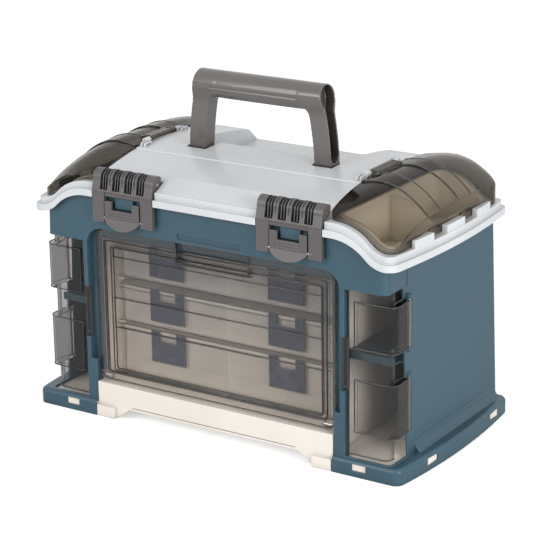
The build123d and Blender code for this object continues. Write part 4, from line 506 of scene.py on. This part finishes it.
smoky_clear = clear_finish(
    "smoky_clear", srgb(176, 170, 162), srgb(50, 45, 40), srgb(66, 61, 55), (0.8, 0.78, 0.74, 1),
    waviness=0.02, gloss=0.12,
)
smoky_corner = clear_finish(
    "smoky_corner", srgb(216, 214, 213), srgb(40, 38, 38), srgb(128, 127, 127), (0.84, 0.83, 0.82, 1),
    gloss=0.5,
)
# Painted shade: the door's colour turns darker towards its top, for the darker inside seen through it.
smoky_door = clear_finish(
    "smoky_door", srgb(240, 235, 231), srgb(50, 45, 42), srgb(176, 170, 164), (0.94, 0.93, 0.92, 1),
    waviness=0.03, fade=(110 * MM, 240 * MM, srgb(208, 206, 206)),
)
utility_clear = clear_finish(
    "utility_clear", srgb(246, 244, 240), srgb(110, 104, 98), srgb(210, 205, 198), (0.97, 0.97, 0.96, 1),
    clear=0.8,
)
utility_divider = clear_finish(
    "utility_divider", srgb(246, 244, 240), srgb(150, 144, 138), srgb(214, 210, 204), (0.97, 0.97, 0.96, 1),
    clear=0.8,
)
print("Clear finishes ready")

# %% Metal pins
pin_steel = bpy.data.materials.new("pin_steel")
pin_steel.use_nodes = True
tree = pin_steel.node_tree
steel = tree.nodes["Principled BSDF"]
steel.inputs["Metallic"].default_value = 1.0
where = tree.nodes.new("ShaderNodeTexCoord")
drawn = node_of(tree, "ShaderNodeTexNoise", Scale=900.0, Detail=2.0)
tone = node_of(tree, "ShaderNodeMapRange", To_Min=0.25, To_Max=0.4)
tree.links.new(where.outputs["Object"], drawn.inputs["Vector"])
tree.links.new(drawn.outputs["Fac"], tone.inputs["Value"])
tree.links.new(tone.outputs["Result"], steel.inputs["Roughness"])
steel.inputs["Base Color"].default_value = (0.62, 0.62, 0.63, 1)

# %% Every solid gets its finish
FINISHES = {
    "case_teal": case_teal, "inner_teal": inner_teal, "base_white": base_white, "lid_silver": lid_silver,
    "bin_white": bin_white, "handle_grey": handle_grey, "latch_grey": latch_grey, "lever_grey": latch_grey,
    "grip_soft": grip_soft, "catch_black": catch_black, "utility_latch": utility_latch,
    "pin_steel": pin_steel, "smoky_clear": smoky_clear, "smoky_door": smoky_door,
    "utility_clear": utility_clear, "utility_divider": utility_divider,
}
BY_NODE = {
    "bay_wall_left": bay_beige, "bay_wall_right": bay_beige, "bulk_floor": inner_teal,
    "corner_door_left": smoky_corner, "corner_door_right": smoky_corner,
}
slot_of = {part["node"]: part["material_slot"] for part in frame["record"]["subparts"]}
for node_name, node in NODES.items():
    finish = BY_NODE.get(node_name) or FINISHES[slot_of[node_name]]
    for slot in node.material_slots:
        slot.material = finish
print("Dressed", len(NODES), "solids")

# %% [markdown]
# ## The carrying handle
# The handle is one thick moulding: a round grip that flows into two leaning legs, with a keyhole-shaped
# channel open at each outer side. Sharp solids joined edge to edge would look machined, and bevels fail
# where a round meets a flat. So the shape is written as a field: how far each point in space is from the
# surface, with a smooth minimum where the grip meets the legs. The surface is then drawn through the
# points where the field is zero. The same sizes as the solid's are used, so the hand opening and the
# pivots stay where they are.

# %% A surface drawn through a field of distances


def smooth_union(first, second, blend):
    """The nearer of two fields, rounded over the blend length where they meet."""
    share = np.clip(0.5 + 0.5 * (second - first) / blend, 0, 1)
    return second * (1 - share) + first * share - blend * share * (1 - share)


def smooth_cut(body, hole, blend):
    """A body with a hole taken out, its new edges rounded over the blend length."""
    return -smooth_union(-body, hole, blend)


def surface_of(field, low, step):
    """Points and four-sided faces of the surface where a field on a grid is zero."""
    inside = field < 0
    cells = tuple(n - 1 for n in field.shape)
    total = np.zeros(cells + (3,))
    count = np.zeros(cells)
    grid = np.stack(np.meshgrid(*[np.arange(n) for n in cells], indexing="ij"), axis=-1).astype(float)
    corners = [(0, 0), (0, 1), (1, 0), (1, 1)]
    for axis in range(3):
        others = [a for a in range(3) if a != axis]
        for shift in corners:
            start = [0, 0, 0]
            start[others[0]], start[others[1]] = shift
            end = list(start)
            end[axis] = 1
            near = field[tuple(slice(o, o + n) for o, n in zip(start, cells))]
            far = field[tuple(slice(o, o + n) for o, n in zip(end, cells))]
            crossed = (near < 0) != (far < 0)
            share = np.where(crossed, near / np.where(crossed, near - far, 1), 0)
            point = grid + np.array(start, float)
            point[..., axis] += share
            total += np.where(crossed[..., None], point, 0)
            count += crossed
    used = count > 0
    number = np.full(cells, -1)
    number[used] = np.arange(used.sum())
    points = total[used] / count[used][:, None] * step + np.array(low)
    faces = []
    for axis in range(3):
        b, c = [(axis + 1) % 3, (axis + 2) % 3]
        near = inside[tuple(slice(1, -1) if a != axis else slice(0, -1) for a in range(3))]
        far = inside[tuple(slice(1, -1) if a != axis else slice(1, None) for a in range(3))]
        where = np.argwhere(near != far)
        leaves = near[tuple(where.T)]
        where = where + np.array([0 if a == axis else 1 for a in range(3)])
        ring = []
        for db, dc in ((-1, -1), (0, -1), (0, 0), (-1, 0)):
            cell = where.copy()
            cell[:, b] += db
            cell[:, c] += dc
            ring.append(number[tuple(cell.T)])
        quads = np.stack(ring, axis=1)
        quads[~leaves] = quads[~leaves][:, ::-1]
        faces.append(quads)
    return points, np.concatenate(faces)


def add_piece(name, mesh, body, finish):
    """A finished piece at the origin that moves with a body."""
    piece = bpy.data.objects.new(name, mesh)
    bpy.context.collection.objects.link(piece)
    mesh.materials.clear()
    mesh.materials.append(finish)
    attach(piece, body)
    return piece


# %% The handle's form
GRIP_CENTRE_Y = -11.0
GRIP_CENTRE_Z = 450.5
GRIP_RADIUS = 18.5
PIVOT_Z = 350.0
LEG_FOOT = (86.0, 111.5)
LEG_TOP = (73.0, 100.0)
LEG_BOW = 3.0
LEG_HALF_DEPTH = 11.5
LEG_JOINT_BLEND = 9.0
CHANNEL_DEEP = 14.0
CHANNEL_RIM = 2.2
CHANNEL_FOOT_Z = 374.0
HANDLE_STEP = 1.0
INSERT_ROOM = (56.3, 10.3, 438.3)
SEAM_X = (-76.0, 64.0)
SEAM_DROP = 2.0


def leg_edge_at(foot, top, z):
    """How far out one edge of a leg stands at a level: a straight lean with a slight bow."""
    rise = (z - PIVOT_Z) / (GRIP_CENTRE_Z - PIVOT_Z)
    return foot + (top - foot) * rise + 4 * LEG_BOW * rise * (1 - rise) * (rise < 1)


def handle_field(x, y, z):
    """Distance to the handle's surface, less than nothing inside."""
    out, depth = np.abs(x), np.abs(y - GRIP_CENTRE_Y)
    outer = leg_edge_at(LEG_FOOT[1], LEG_TOP[1], z)
    inner = leg_edge_at(LEG_FOOT[0], LEG_TOP[0], z)
    around = np.hypot(y - GRIP_CENTRE_Y, z - GRIP_CENTRE_Z)
    grip = np.maximum(around - GRIP_RADIUS, out - outer)
    round_foot = np.hypot(y - GRIP_CENTRE_Y, z - PIVOT_Z) - LEG_HALF_DEPTH
    sides = np.where(z > PIVOT_Z, depth - LEG_HALF_DEPTH, round_foot)
    leg = np.maximum(np.maximum(inner - out, out - outer), np.maximum(sides, z - GRIP_CENTRE_Z))
    body = smooth_union(grip, leg, LEG_JOINT_BLEND)
    body = np.maximum(body, out - outer)
    channel_half = LEG_HALF_DEPTH - CHANNEL_RIM
    slot_foot = np.hypot(y - GRIP_CENTRE_Y, z - CHANNEL_FOOT_Z) - channel_half
    slot = np.where(z > CHANNEL_FOOT_Z, depth - channel_half, slot_foot)
    slot = np.maximum(slot, z - GRIP_CENTRE_Z)
    keyhole = smooth_union(around - GRIP_RADIUS + CHANNEL_RIM, slot, 2 * LEG_JOINT_BLEND / 3)
    channel = np.maximum(keyhole, outer - CHANNEL_DEEP - out)
    body = smooth_cut(body, channel, 1.4)
    room = np.maximum(np.maximum(out - INSERT_ROOM[0], depth - INSERT_ROOM[1]), z - INSERT_ROOM[2])
    body = smooth_cut(body, room, 0.6)
    seam_z = GRIP_CENTRE_Z - SEAM_DROP
    seam_ring = np.hypot(np.minimum(y - GRIP_CENTRE_Y + GRIP_RADIUS, 0), z - seam_z)
    along = np.maximum(SEAM_X[0] - x, x - SEAM_X[1])
    seam = np.maximum(np.maximum(seam_ring - 0.9, along), y - GRIP_CENTRE_Y + GRIP_RADIUS - 1.2)
    return smooth_cut(body, seam, 0.5)


low = np.array((-LEG_FOOT[1] - 4, GRIP_CENTRE_Y - GRIP_RADIUS - 3, PIVOT_Z - LEG_HALF_DEPTH - 3))
high = np.array((LEG_FOOT[1] + 4, GRIP_CENTRE_Y + GRIP_RADIUS + 3, GRIP_CENTRE_Z + GRIP_RADIUS + 3))
steps = [np.arange(a, b, HANDLE_STEP) for a, b in zip(low, high)]
points, faces = surface_of(handle_field(*np.meshgrid(*steps, indexing="ij")), low, HANDLE_STEP)
handle_mesh = bpy.data.meshes.new("handle_moulding")
handle_mesh.from_pydata((points * MM).tolist(), [], faces.tolist())
handle_mesh.shade_smooth()
handle = add_piece("handle_moulding", handle_mesh, "handle", handle_grey)
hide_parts("handle_frame")
print("Handle:", len(handle_mesh.polygons), "faces")

# %% [markdown]
# ## Ribs in the latches
# Each draw latch is an arch with four slots. At the bottom of every slot a thin black strip follows the
# bend, painted shade for the dark inside of the slot, with two thin fins on it. Each bar between the slots
# carries two raised lines, with a black strip between them as the painted shade of the dip between the
# lines. All four are strips bent round the latch's pin, each with its own width and height. They could be
# drawn one by one, but a row then has to be drawn again when its pitch changes. So each kind is drawn once,
# and a small Geometry Nodes tree sets the copies in a row.

# %% Helpers for trees that make geometry


def new_tree(name, inputs):
    """An empty Geometry Nodes tree with the named inputs, and its input and output nodes."""
    sockets = [("Geometry", "Geometry", None)] + inputs + [("Finish", "Material", None)]
    return new_group(name, sockets, [("Geometry", "Geometry")], "GeometryNodeTree")


def end_tree(tree, start, end, shape):
    """The end of every tree: copies made real, and the finish set."""
    real, paint = tree.nodes.new("GeometryNodeRealizeInstances"), tree.nodes.new("GeometryNodeSetMaterial")
    tree.links.new(shape, real.inputs["Geometry"])
    tree.links.new(real.outputs["Geometry"], paint.inputs["Geometry"])
    tree.links.new(start.outputs["Finish"], paint.inputs["Material"])
    tree.links.new(paint.outputs["Geometry"], end.inputs["Geometry"])


def grown_mesh(tree, source, **values):
    """The plain mesh that a tree makes of a source mesh, in metres."""
    holder = bpy.data.objects.new("tree_holder", source)
    bpy.context.collection.objects.link(holder)
    modifier = holder.modifiers.new("tree", "NODES")
    modifier.node_group = tree
    for socket in tree.interface.items_tree:
        if socket.in_out == "INPUT" and socket.name in values:
            modifier[socket.identifier] = values[socket.name]
    bpy.context.view_layer.update()
    shown = holder.evaluated_get(bpy.context.evaluated_depsgraph_get())
    mesh = bpy.data.meshes.new_from_object(shown)
    bpy.data.objects.remove(holder)
    return mesh


# %% A tree that repeats a strip along X


def build_row_tree():
    """Geometry Nodes: copies of the incoming mesh in a row along X."""
    tree, start, end = new_tree(
        "row_of_copies", [("Count", "Int", None), ("Pitch", "Float", None), ("Middle", "Float", None)],
    )
    nodes, links = tree.nodes, tree.links
    line, copies = nodes.new("GeometryNodeMeshLine"), nodes.new("GeometryNodeInstanceOnPoints")
    spread = math_node(tree, "MULTIPLY_ADD", None, 0.5, -0.5)
    half_row = math_node(tree, "MULTIPLY")
    first = math_node(tree, "SUBTRACT")
    offset, origin = nodes.new("ShaderNodeCombineXYZ"), nodes.new("ShaderNodeCombineXYZ")
    links.new(start.outputs["Count"], line.inputs["Count"])
    links.new(start.outputs["Count"], spread.inputs[0])
    links.new(spread.outputs[0], half_row.inputs[0])
    links.new(start.outputs["Pitch"], half_row.inputs[1])
    links.new(start.outputs["Middle"], first.inputs[0])
    links.new(half_row.outputs[0], first.inputs[1])
    links.new(first.outputs[0], origin.inputs["X"])
    links.new(start.outputs["Pitch"], offset.inputs["X"])
    links.new(origin.outputs[0], line.inputs["Start Location"])
    links.new(offset.outputs[0], line.inputs["Offset"])
    links.new(line.outputs["Mesh"], copies.inputs["Points"])
    links.new(start.outputs["Geometry"], copies.inputs["Instance"])
    end_tree(tree, start, end, copies.outputs["Instances"])
    return tree


ROW_TREE = build_row_tree()


def row_mesh(source, count, pitch, middle, finish):
    """The plain mesh of a row of copies of a source mesh, in metres."""
    return grown_mesh(ROW_TREE, source, Count=count, Pitch=pitch, Middle=middle, Finish=finish)


def bent_strip(inner, outer, width):
    """A closed strip between two lines in (Y, Z), as wide as given along X, in millimetres."""
    shape = bmesh.new()
    outline = list(inner) + list(reversed(outer))
    left = [shape.verts.new((-width / 2 * MM, y * MM, z * MM)) for y, z in outline]
    right = [shape.verts.new((width / 2 * MM, y * MM, z * MM)) for y, z in outline]
    n = len(inner)
    for i in range(n - 1):
        j = len(outline) - 1 - i
        shape.faces.new((left[i], left[i + 1], left[j - 1], left[j]))
        shape.faces.new((right[j], right[j - 1], right[i + 1], right[i]))
    for i in range(len(outline)):
        k = (i + 1) % len(outline)
        shape.faces.new((left[k], left[i], right[i], right[k]))
    bmesh.ops.recalc_face_normals(shape, faces=shape.faces)
    mesh = bpy.data.meshes.new("bent_strip")
    shape.to_mesh(mesh)
    shape.free()
    return mesh


# %% Painted slot shades, fins, raised lines and painted shade between the lines
LATCH_PIN = (-141.0, 340.0)
LATCH_MIDDLE = 129.0
SLOT_PITCH = 19.6
SLOT_COUNT = 4
SLOT_SHADE_RADIUS = 8.6
SLOT_SHADE_THICK = 0.5
SLOT_SHADE_WIDTH = 12.2
FIN_HEIGHT = 2.3
FIN_WIDTH = 0.9
FIN_PITCH = 4.2
BEND_REAR, BEND_FRONT = 62, 176
SLOT_FOOT_Z = 327.4
ARCH_RADIUS = 12.0
LINE_HEIGHT = 0.5
LINE_WIDTH = 1.2
LINE_PITCH = 4.6
GROOVE_SHADE_WIDTH = 1.7
ARCH_REAR, ARCH_FRONT = 46, 184
BAR_FOOT_Z = 324.0
SLOT_SHIFT = 0.9
FIN_SHIFT = 2.2
BAR_SHIFT = 3.2
BAR_SINK = 0.3
GROOVE_SHADE_RISE = 0.12


def bend_line(radius, rear, front, foot_z, foot_shift, steps=16):
    """A line over the latch's bend and down its front, at a radius from the pin."""
    pin_y, pin_z = LATCH_PIN
    angles = [radians(rear + (front - rear) * i / steps) for i in range(steps + 1)]
    line = [(pin_y + radius * cos(a), pin_z + radius * sin(a)) for a in angles]
    line.append((line[-1][0] - foot_shift, foot_z))
    return line


def slot_line(radius, foot_shift=SLOT_SHIFT):
    """A bend line as long as a slot."""
    return bend_line(radius, BEND_REAR, BEND_FRONT, SLOT_FOOT_Z, foot_shift)


def bar_line(rise):
    """A bend line on a bar, so far above its face."""
    return bend_line(ARCH_RADIUS + rise, ARCH_REAR, ARCH_FRONT, BAR_FOOT_Z, BAR_SHIFT)


# Painted shade: a thin black strip along the bottom of each slot, for its dark inside.
slot_shade = bent_strip(slot_line(SLOT_SHADE_RADIUS), slot_line(SLOT_SHADE_RADIUS + SLOT_SHADE_THICK), SLOT_SHADE_WIDTH)
fin = bent_strip(
    slot_line(SLOT_SHADE_RADIUS + SLOT_SHADE_THICK / 2), slot_line(SLOT_SHADE_RADIUS + FIN_HEIGHT, FIN_SHIFT), FIN_WIDTH,
)
raised_line = bent_strip(bar_line(-BAR_SINK), bar_line(LINE_HEIGHT), LINE_WIDTH)
# Painted shade: a black strip just above each bar's face, between its two raised lines.
groove_shade = bent_strip(bar_line(-BAR_SINK), bar_line(GROOVE_SHADE_RISE), GROOVE_SHADE_WIDTH)
two_fins = row_mesh(fin, 2, FIN_PITCH * MM, 0.0, latch_dark)
two_lines = row_mesh(raised_line, 2, LINE_PITCH * MM, 0.0, latch_grey)
for side, word in SIDES:
    middle = side * LATCH_MIDDLE * MM
    for name, source, count, finish, slot in (
        ("latch_slot_shades_", slot_shade, SLOT_COUNT, catch_black, "catch_black"),
        ("latch_fins_", two_fins, SLOT_COUNT, latch_dark, "latch_grey"),
        ("latch_lines_", two_lines, SLOT_COUNT - 1, latch_grey, "latch_grey"),
        ("latch_groove_shades_", groove_shade, SLOT_COUNT - 1, catch_black, "catch_black"),
    ):
        row = row_mesh(source, count, SLOT_PITCH * MM, middle, finish)
        add_piece(name + word, row, "latch_" + word, finish)
print("Latch rows set")

# %% [markdown]
# ## Edges of the cover bands
# Each clear end cover has two raised bands across it. Seen from the front, their edges are the strongest
# lines of the cover: dark where the plastic is looked at edge on. The finish could darken them alone, but
# a bead is real shape, and stays in the exported mesh. Points dropped onto the cover's own surface from
# above give its line, so that it follows the crown and the fall at the side. Then a second Geometry Nodes
# tree sweeps a small ring along the line.

# %% A tree that lays a bead along lines
BEAD_SIDES = 8


def build_bead_tree():
    """Geometry Nodes: a round bead along every line of the incoming edges, with flat closed ends."""
    tree, start, end = new_tree("bead_along_lines", [("Radius", "Float", None), ("Sides", "Int", None)])
    nodes, links = tree.nodes, tree.links
    path, ring = nodes.new("GeometryNodeMeshToCurve"), nodes.new("GeometryNodeCurvePrimitiveCircle")
    sweep = node_of(tree, "GeometryNodeCurveToMesh", Fill_Caps=True)
    links.new(start.outputs["Geometry"], path.inputs["Mesh"])
    links.new(start.outputs["Radius"], ring.inputs["Radius"])
    links.new(start.outputs["Sides"], ring.inputs["Resolution"])
    links.new(path.outputs["Curve"], sweep.inputs["Curve"])
    links.new(ring.outputs["Curve"], sweep.inputs["Profile Curve"])
    end_tree(tree, start, end, sweep.outputs["Mesh"])
    return tree


BEAD_TREE = build_bead_tree()


def add_beads(name, lines, radius, body, finish):
    """A piece of round beads along lines of points in metres, their radius in millimetres."""
    points, edges = [], []
    for line in lines:
        first = len(points)
        points += [tuple(place) for place in line]
        edges += [(i, i + 1) for i in range(first, len(points) - 1)]
    paths = bpy.data.meshes.new("paths")
    paths.from_pydata(points, edges, [])
    mesh = grown_mesh(BEAD_TREE, paths, Radius=radius * MM, Sides=BEAD_SIDES, Finish=finish)
    return add_piece(name, mesh, body, finish)


# %% Beads along the bands
BAND_EDGES_Y = (-57.0, -25.0, 25.0, 57.0)
BEAD_RADIUS = 0.8
BEAD_STEP = 2.0
COVER_RIM_INSET = 3.5
COVER_INNER_INSET = 6.0
DROP_FROM_Z = 0.6
smoky_edge = moulded_finish(
    "smoky_edge", srgb(36, 33, 31), 0.12, grain_depth=0.0, edge_wear_and_highlight=0.0, crevice=0.0, coat=0.6,
)


def tree_of(node_name):
    """A search tree over a node's faces, to drop points onto."""
    mesh = NODES[node_name].data
    mesh.calc_loop_triangles()
    points = [vertex.co.copy() for vertex in mesh.vertices]
    return BVHTree.FromPolygons(points, [tuple(t.vertices) for t in mesh.loop_triangles])


def dropped_point(tree, x, y):
    """The point of a surface straight below a place high above it, or None."""
    return tree.ray_cast(Vector((x, y, DROP_FROM_Z)), Vector((0, 0, -1)))[0]


def dropped_line(tree, y, x_from, x_to):
    """Points on the top of a surface, in a line along X."""
    count = int(abs(x_to - x_from) / (BEAD_STEP * MM))
    line = []
    for i in range(count + 1):
        x = x_from + (x_to - x_from) * i / count
        hit = dropped_point(tree, x, y)
        if hit is not None:
            line.append(hit)
    return line


for side, word in SIDES:
    cover = "end_cover_" + word
    low_corner, high_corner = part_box(cover)
    reach = max(abs(low_corner[0]), abs(high_corner[0])) - COVER_RIM_INSET * MM
    inner = min(abs(low_corner[0]), abs(high_corner[0])) + COVER_INNER_INSET * MM
    cover_tree = tree_of(cover)
    lines = [dropped_line(cover_tree, y * MM, side * inner, side * reach) for y in BAND_EDGES_Y]
    add_beads("cover_beads_" + word, lines, BEAD_RADIUS, "cover_" + word, smoky_edge)
print("Beads on both covers")

# %% [markdown]
# ## Edges of the doors and boxes
# The doors and the boxes behind them are clear too, and the eye reads them by their edges. The front door
# is a flange, then two steps down to a panel; each step has a rounded frame line. The corner doors have
# two windows that stand out and wrap round the corner. Fine beads follow these outlines, sunk into the
# solid by half.

# %% Frame lines of the front door
DOOR_FACE_Y = -139.0
DOOR_FRAMES = (
    (187.1, 52.9, 265.6, 15.0, 0.0),
    (174.5, 63.0, 250.5, 4.0, 0.0),
    (174.0, 63.5, 250.0, 4.0, 3.0),
    (165.5, 66.0, 241.0, 3.0, 3.0),
    (165.0, 66.5, 240.5, 3.0, 8.5),
)
POCKET_HALF, POCKET_LOW, POCKET_HIGH = 57.0, 238.0, 265.5
PANEL_BANDS_Z = (127.0, 169.0, 227.0)
PANEL_BAND_Y = -132.0
DOOR_BEAD = 0.95


def framed(half, low, high, radius, y, steps=6):
    """A closed line round a rounded frame that stands upright."""
    line = []
    for cx, cz, start in ((half, high, 0), (-half, high, 90), (-half, low, 180), (half, low, 270)):
        mid_x = cx - radius if cx > 0 else cx + radius
        mid_z = cz - radius if cz == high else cz + radius
        for i in range(steps + 1):
            a = radians(start + 90 * i / steps)
            line.append((mid_x + radius * cos(a), y, mid_z + radius * sin(a)))
    return line + line[:1]


def in_metres(line):
    """A line given in millimetres, in metres."""
    return [tuple(value * MM for value in point) for point in line]


door_lines = [framed(half, low, high, r, DOOR_FACE_Y + deep) for half, low, high, r, deep in DOOR_FRAMES]
door_lines.append([
    (-POCKET_HALF, DOOR_FACE_Y, POCKET_HIGH), (-POCKET_HALF, DOOR_FACE_Y, POCKET_LOW),
    (POCKET_HALF, DOOR_FACE_Y, POCKET_LOW), (POCKET_HALF, DOOR_FACE_Y, POCKET_HIGH),
])
panel_half = DOOR_FRAMES[-1][0]
door_lines += [[(-panel_half, PANEL_BAND_Y, z), (panel_half, PANEL_BAND_Y, z)] for z in PANEL_BANDS_Z]
door_lines = [in_metres(line) for line in door_lines]
add_beads("door_beads", door_lines, DOOR_BEAD, "door", smoky_edge)

# %% Frame lines of the corner doors
WINDOW_LEVELS = ((56.0, 127.0), (169.0, 231.0))
WINDOW_OUTLINE = (215.0, 273.5, -139.2, -104.0)
DOOR_OUTLINE = (205.5, 264.5, -138.0, -124.5)
DOOR_LEVELS = (24.3, 245.7)
CORNER_RADIUS = 11.0
CORNER_BEAD = 0.85
CORNER_FRAMES = (
    (WINDOW_OUTLINE, WINDOW_LEVELS[0]), (WINDOW_OUTLINE, WINDOW_LEVELS[1]), (DOOR_OUTLINE, DOOR_LEVELS),
)


def round_the_corner(outline, z, side, steps=6):
    """A level line from a corner door's inner edge, round the corner to its rear edge."""
    inner, outer, front, rear = outline
    line = [(inner, front, z)]
    for i in range(steps + 1):
        a = radians(-90 + 90 * i / steps)
        line.append((outer - CORNER_RADIUS * (1 - cos(a)), front + CORNER_RADIUS * (1 + sin(a)), z))
    line.append((outer, rear, z))
    return [(side * x, y, z) for x, y, z in line]


for side, word in SIDES:
    lines = []
    for outline, levels in CORNER_FRAMES:
        lines += [round_the_corner(outline, z, side) for z in levels]
        inner, front = side * outline[0], outline[2]
        lines.append([(inner, front, levels[0]), (inner, front, levels[1])])
    lines = [in_metres(line) for line in lines]
    add_beads("corner_beads_" + word, lines, CORNER_BEAD, "corner_" + word, smoky_edge)

# %% Lines of the utility boxes
BOX_BEAD = 0.6
BOX_END_INSET = 3.0
BOX_LINE_SINK = 0.3
BOX_FOOT_RISE = 1.0
BOX_TOP_DROP = 0.6
for number in (1, 2, 3):
    low_corner, high_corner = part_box("utility_box_%d_tray" % number)
    lid_low, lid_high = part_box("utility_box_%d_lid" % number)
    half_width = high_corner[0] - BOX_END_INSET * MM
    front = min(low_corner[1], lid_low[1]) + BOX_LINE_SINK * MM
    levels = (low_corner[2] + BOX_FOOT_RISE * MM, lid_low[2], lid_high[2] - BOX_TOP_DROP * MM)
    lines = [[(-half_width, front, z), (half_width, front, z)] for z in levels]
    box = "utility_box_%d" % number
    add_beads("box_lines_%d" % number, lines, BOX_BEAD, box, smoky_edge)

# %% [markdown]
# ## Lips of the thumb tabs
# Each lever's thumb tab ends in a rounded lower edge that catches the light and looks paler than the
# lever. The same tree lays one pale bead along the arc of that edge, a painted highlight, so the lip and
# the tab keep the same curve.

# %% Painted highlight on the lips of the thumb tabs
TAB_HALF = 27.5
TAB_TOP_Z, TAB_LOW_Z = 286.0, 274.5
TAB_FRONT_Y = -161.0
TAB_LEAN = 4.0 / 14.0
TAB_LIP = 1.0
LIP_LIFT = 0.6
LIP_SHARE = 0.9
LIP_STEPS = 24
sag = TAB_TOP_Z - TAB_LOW_Z
tab_radius = (TAB_HALF ** 2 + sag ** 2) / (2 * sag)
tab_spread = np.degrees(np.arcsin(TAB_HALF / tab_radius)) * LIP_SHARE
for side, word in SIDES:
    line = []
    for step in range(LIP_STEPS + 1):
        angle = radians(-tab_spread + 2 * tab_spread * step / LIP_STEPS)
        z = TAB_LOW_Z + tab_radius * (1 - cos(angle)) + TAB_LIP * LIP_LIFT
        y = TAB_FRONT_Y + (z - TAB_LOW_Z) * TAB_LEAN + TAB_LIP
        line.append((side * LATCH_MIDDLE + (tab_radius - TAB_LIP) * sin(angle), y, z))
    add_beads("tab_lip_" + word, [in_metres(line)], TAB_LIP, "lever_" + word, tab_lip_highlight)
print("Frame lines and lips set")

# %% [markdown]
# ## Hinge loops of the covers
# Beside the tongue of each cover the lid carries small pale loops, two at either end of the hinge. Each is
# a thin rod that comes up out of the lid, runs along the hinge and goes down again. A dropped point finds
# the level of the lid, and the tree for beads sweeps the rod.

# %% Hinge loops
LOOP_X = (166.0, 172.0)
LOOP_SPANS_Y = ((-50.0, -36.0), (36.0, 50.0))
LOOP_SINK = 1.0
LOOP_RISE = 3.2
LOOP_BEND = 2.0
LOOP_BEAD = 1.5


def loop_line(x, foot_z, y_from, y_to):
    """One loop that stands on a level, in metres: up, over with rounded corners, and down."""
    low, top = foot_z - LOOP_SINK * MM, foot_z + LOOP_RISE * MM
    bend, inset = LOOP_BEND * MM, 0.3 * LOOP_BEND * MM
    rising = [(y_from, low), (y_from, top - bend), (y_from + inset, top - inset), (y_from + bend, top)]
    falling = [(y_to - bend, top), (y_to - inset, top - inset), (y_to, top - bend), (y_to, low)]
    return [(x, y, z) for y, z in rising + falling]


lid_tree = tree_of("lid_shell")
for side, word in SIDES:
    lines = []
    for y_from, y_to in LOOP_SPANS_Y:
        for x in LOOP_X:
            foot = dropped_point(lid_tree, side * x * MM, (y_from + y_to) / 2 * MM)
            lines.append(loop_line(foot.x, foot.z, y_from * MM, y_to * MM))
    add_beads("cover_loops_" + word, lines, LOOP_BEAD, "lid", lid_silver)
print("Hinge loops set")
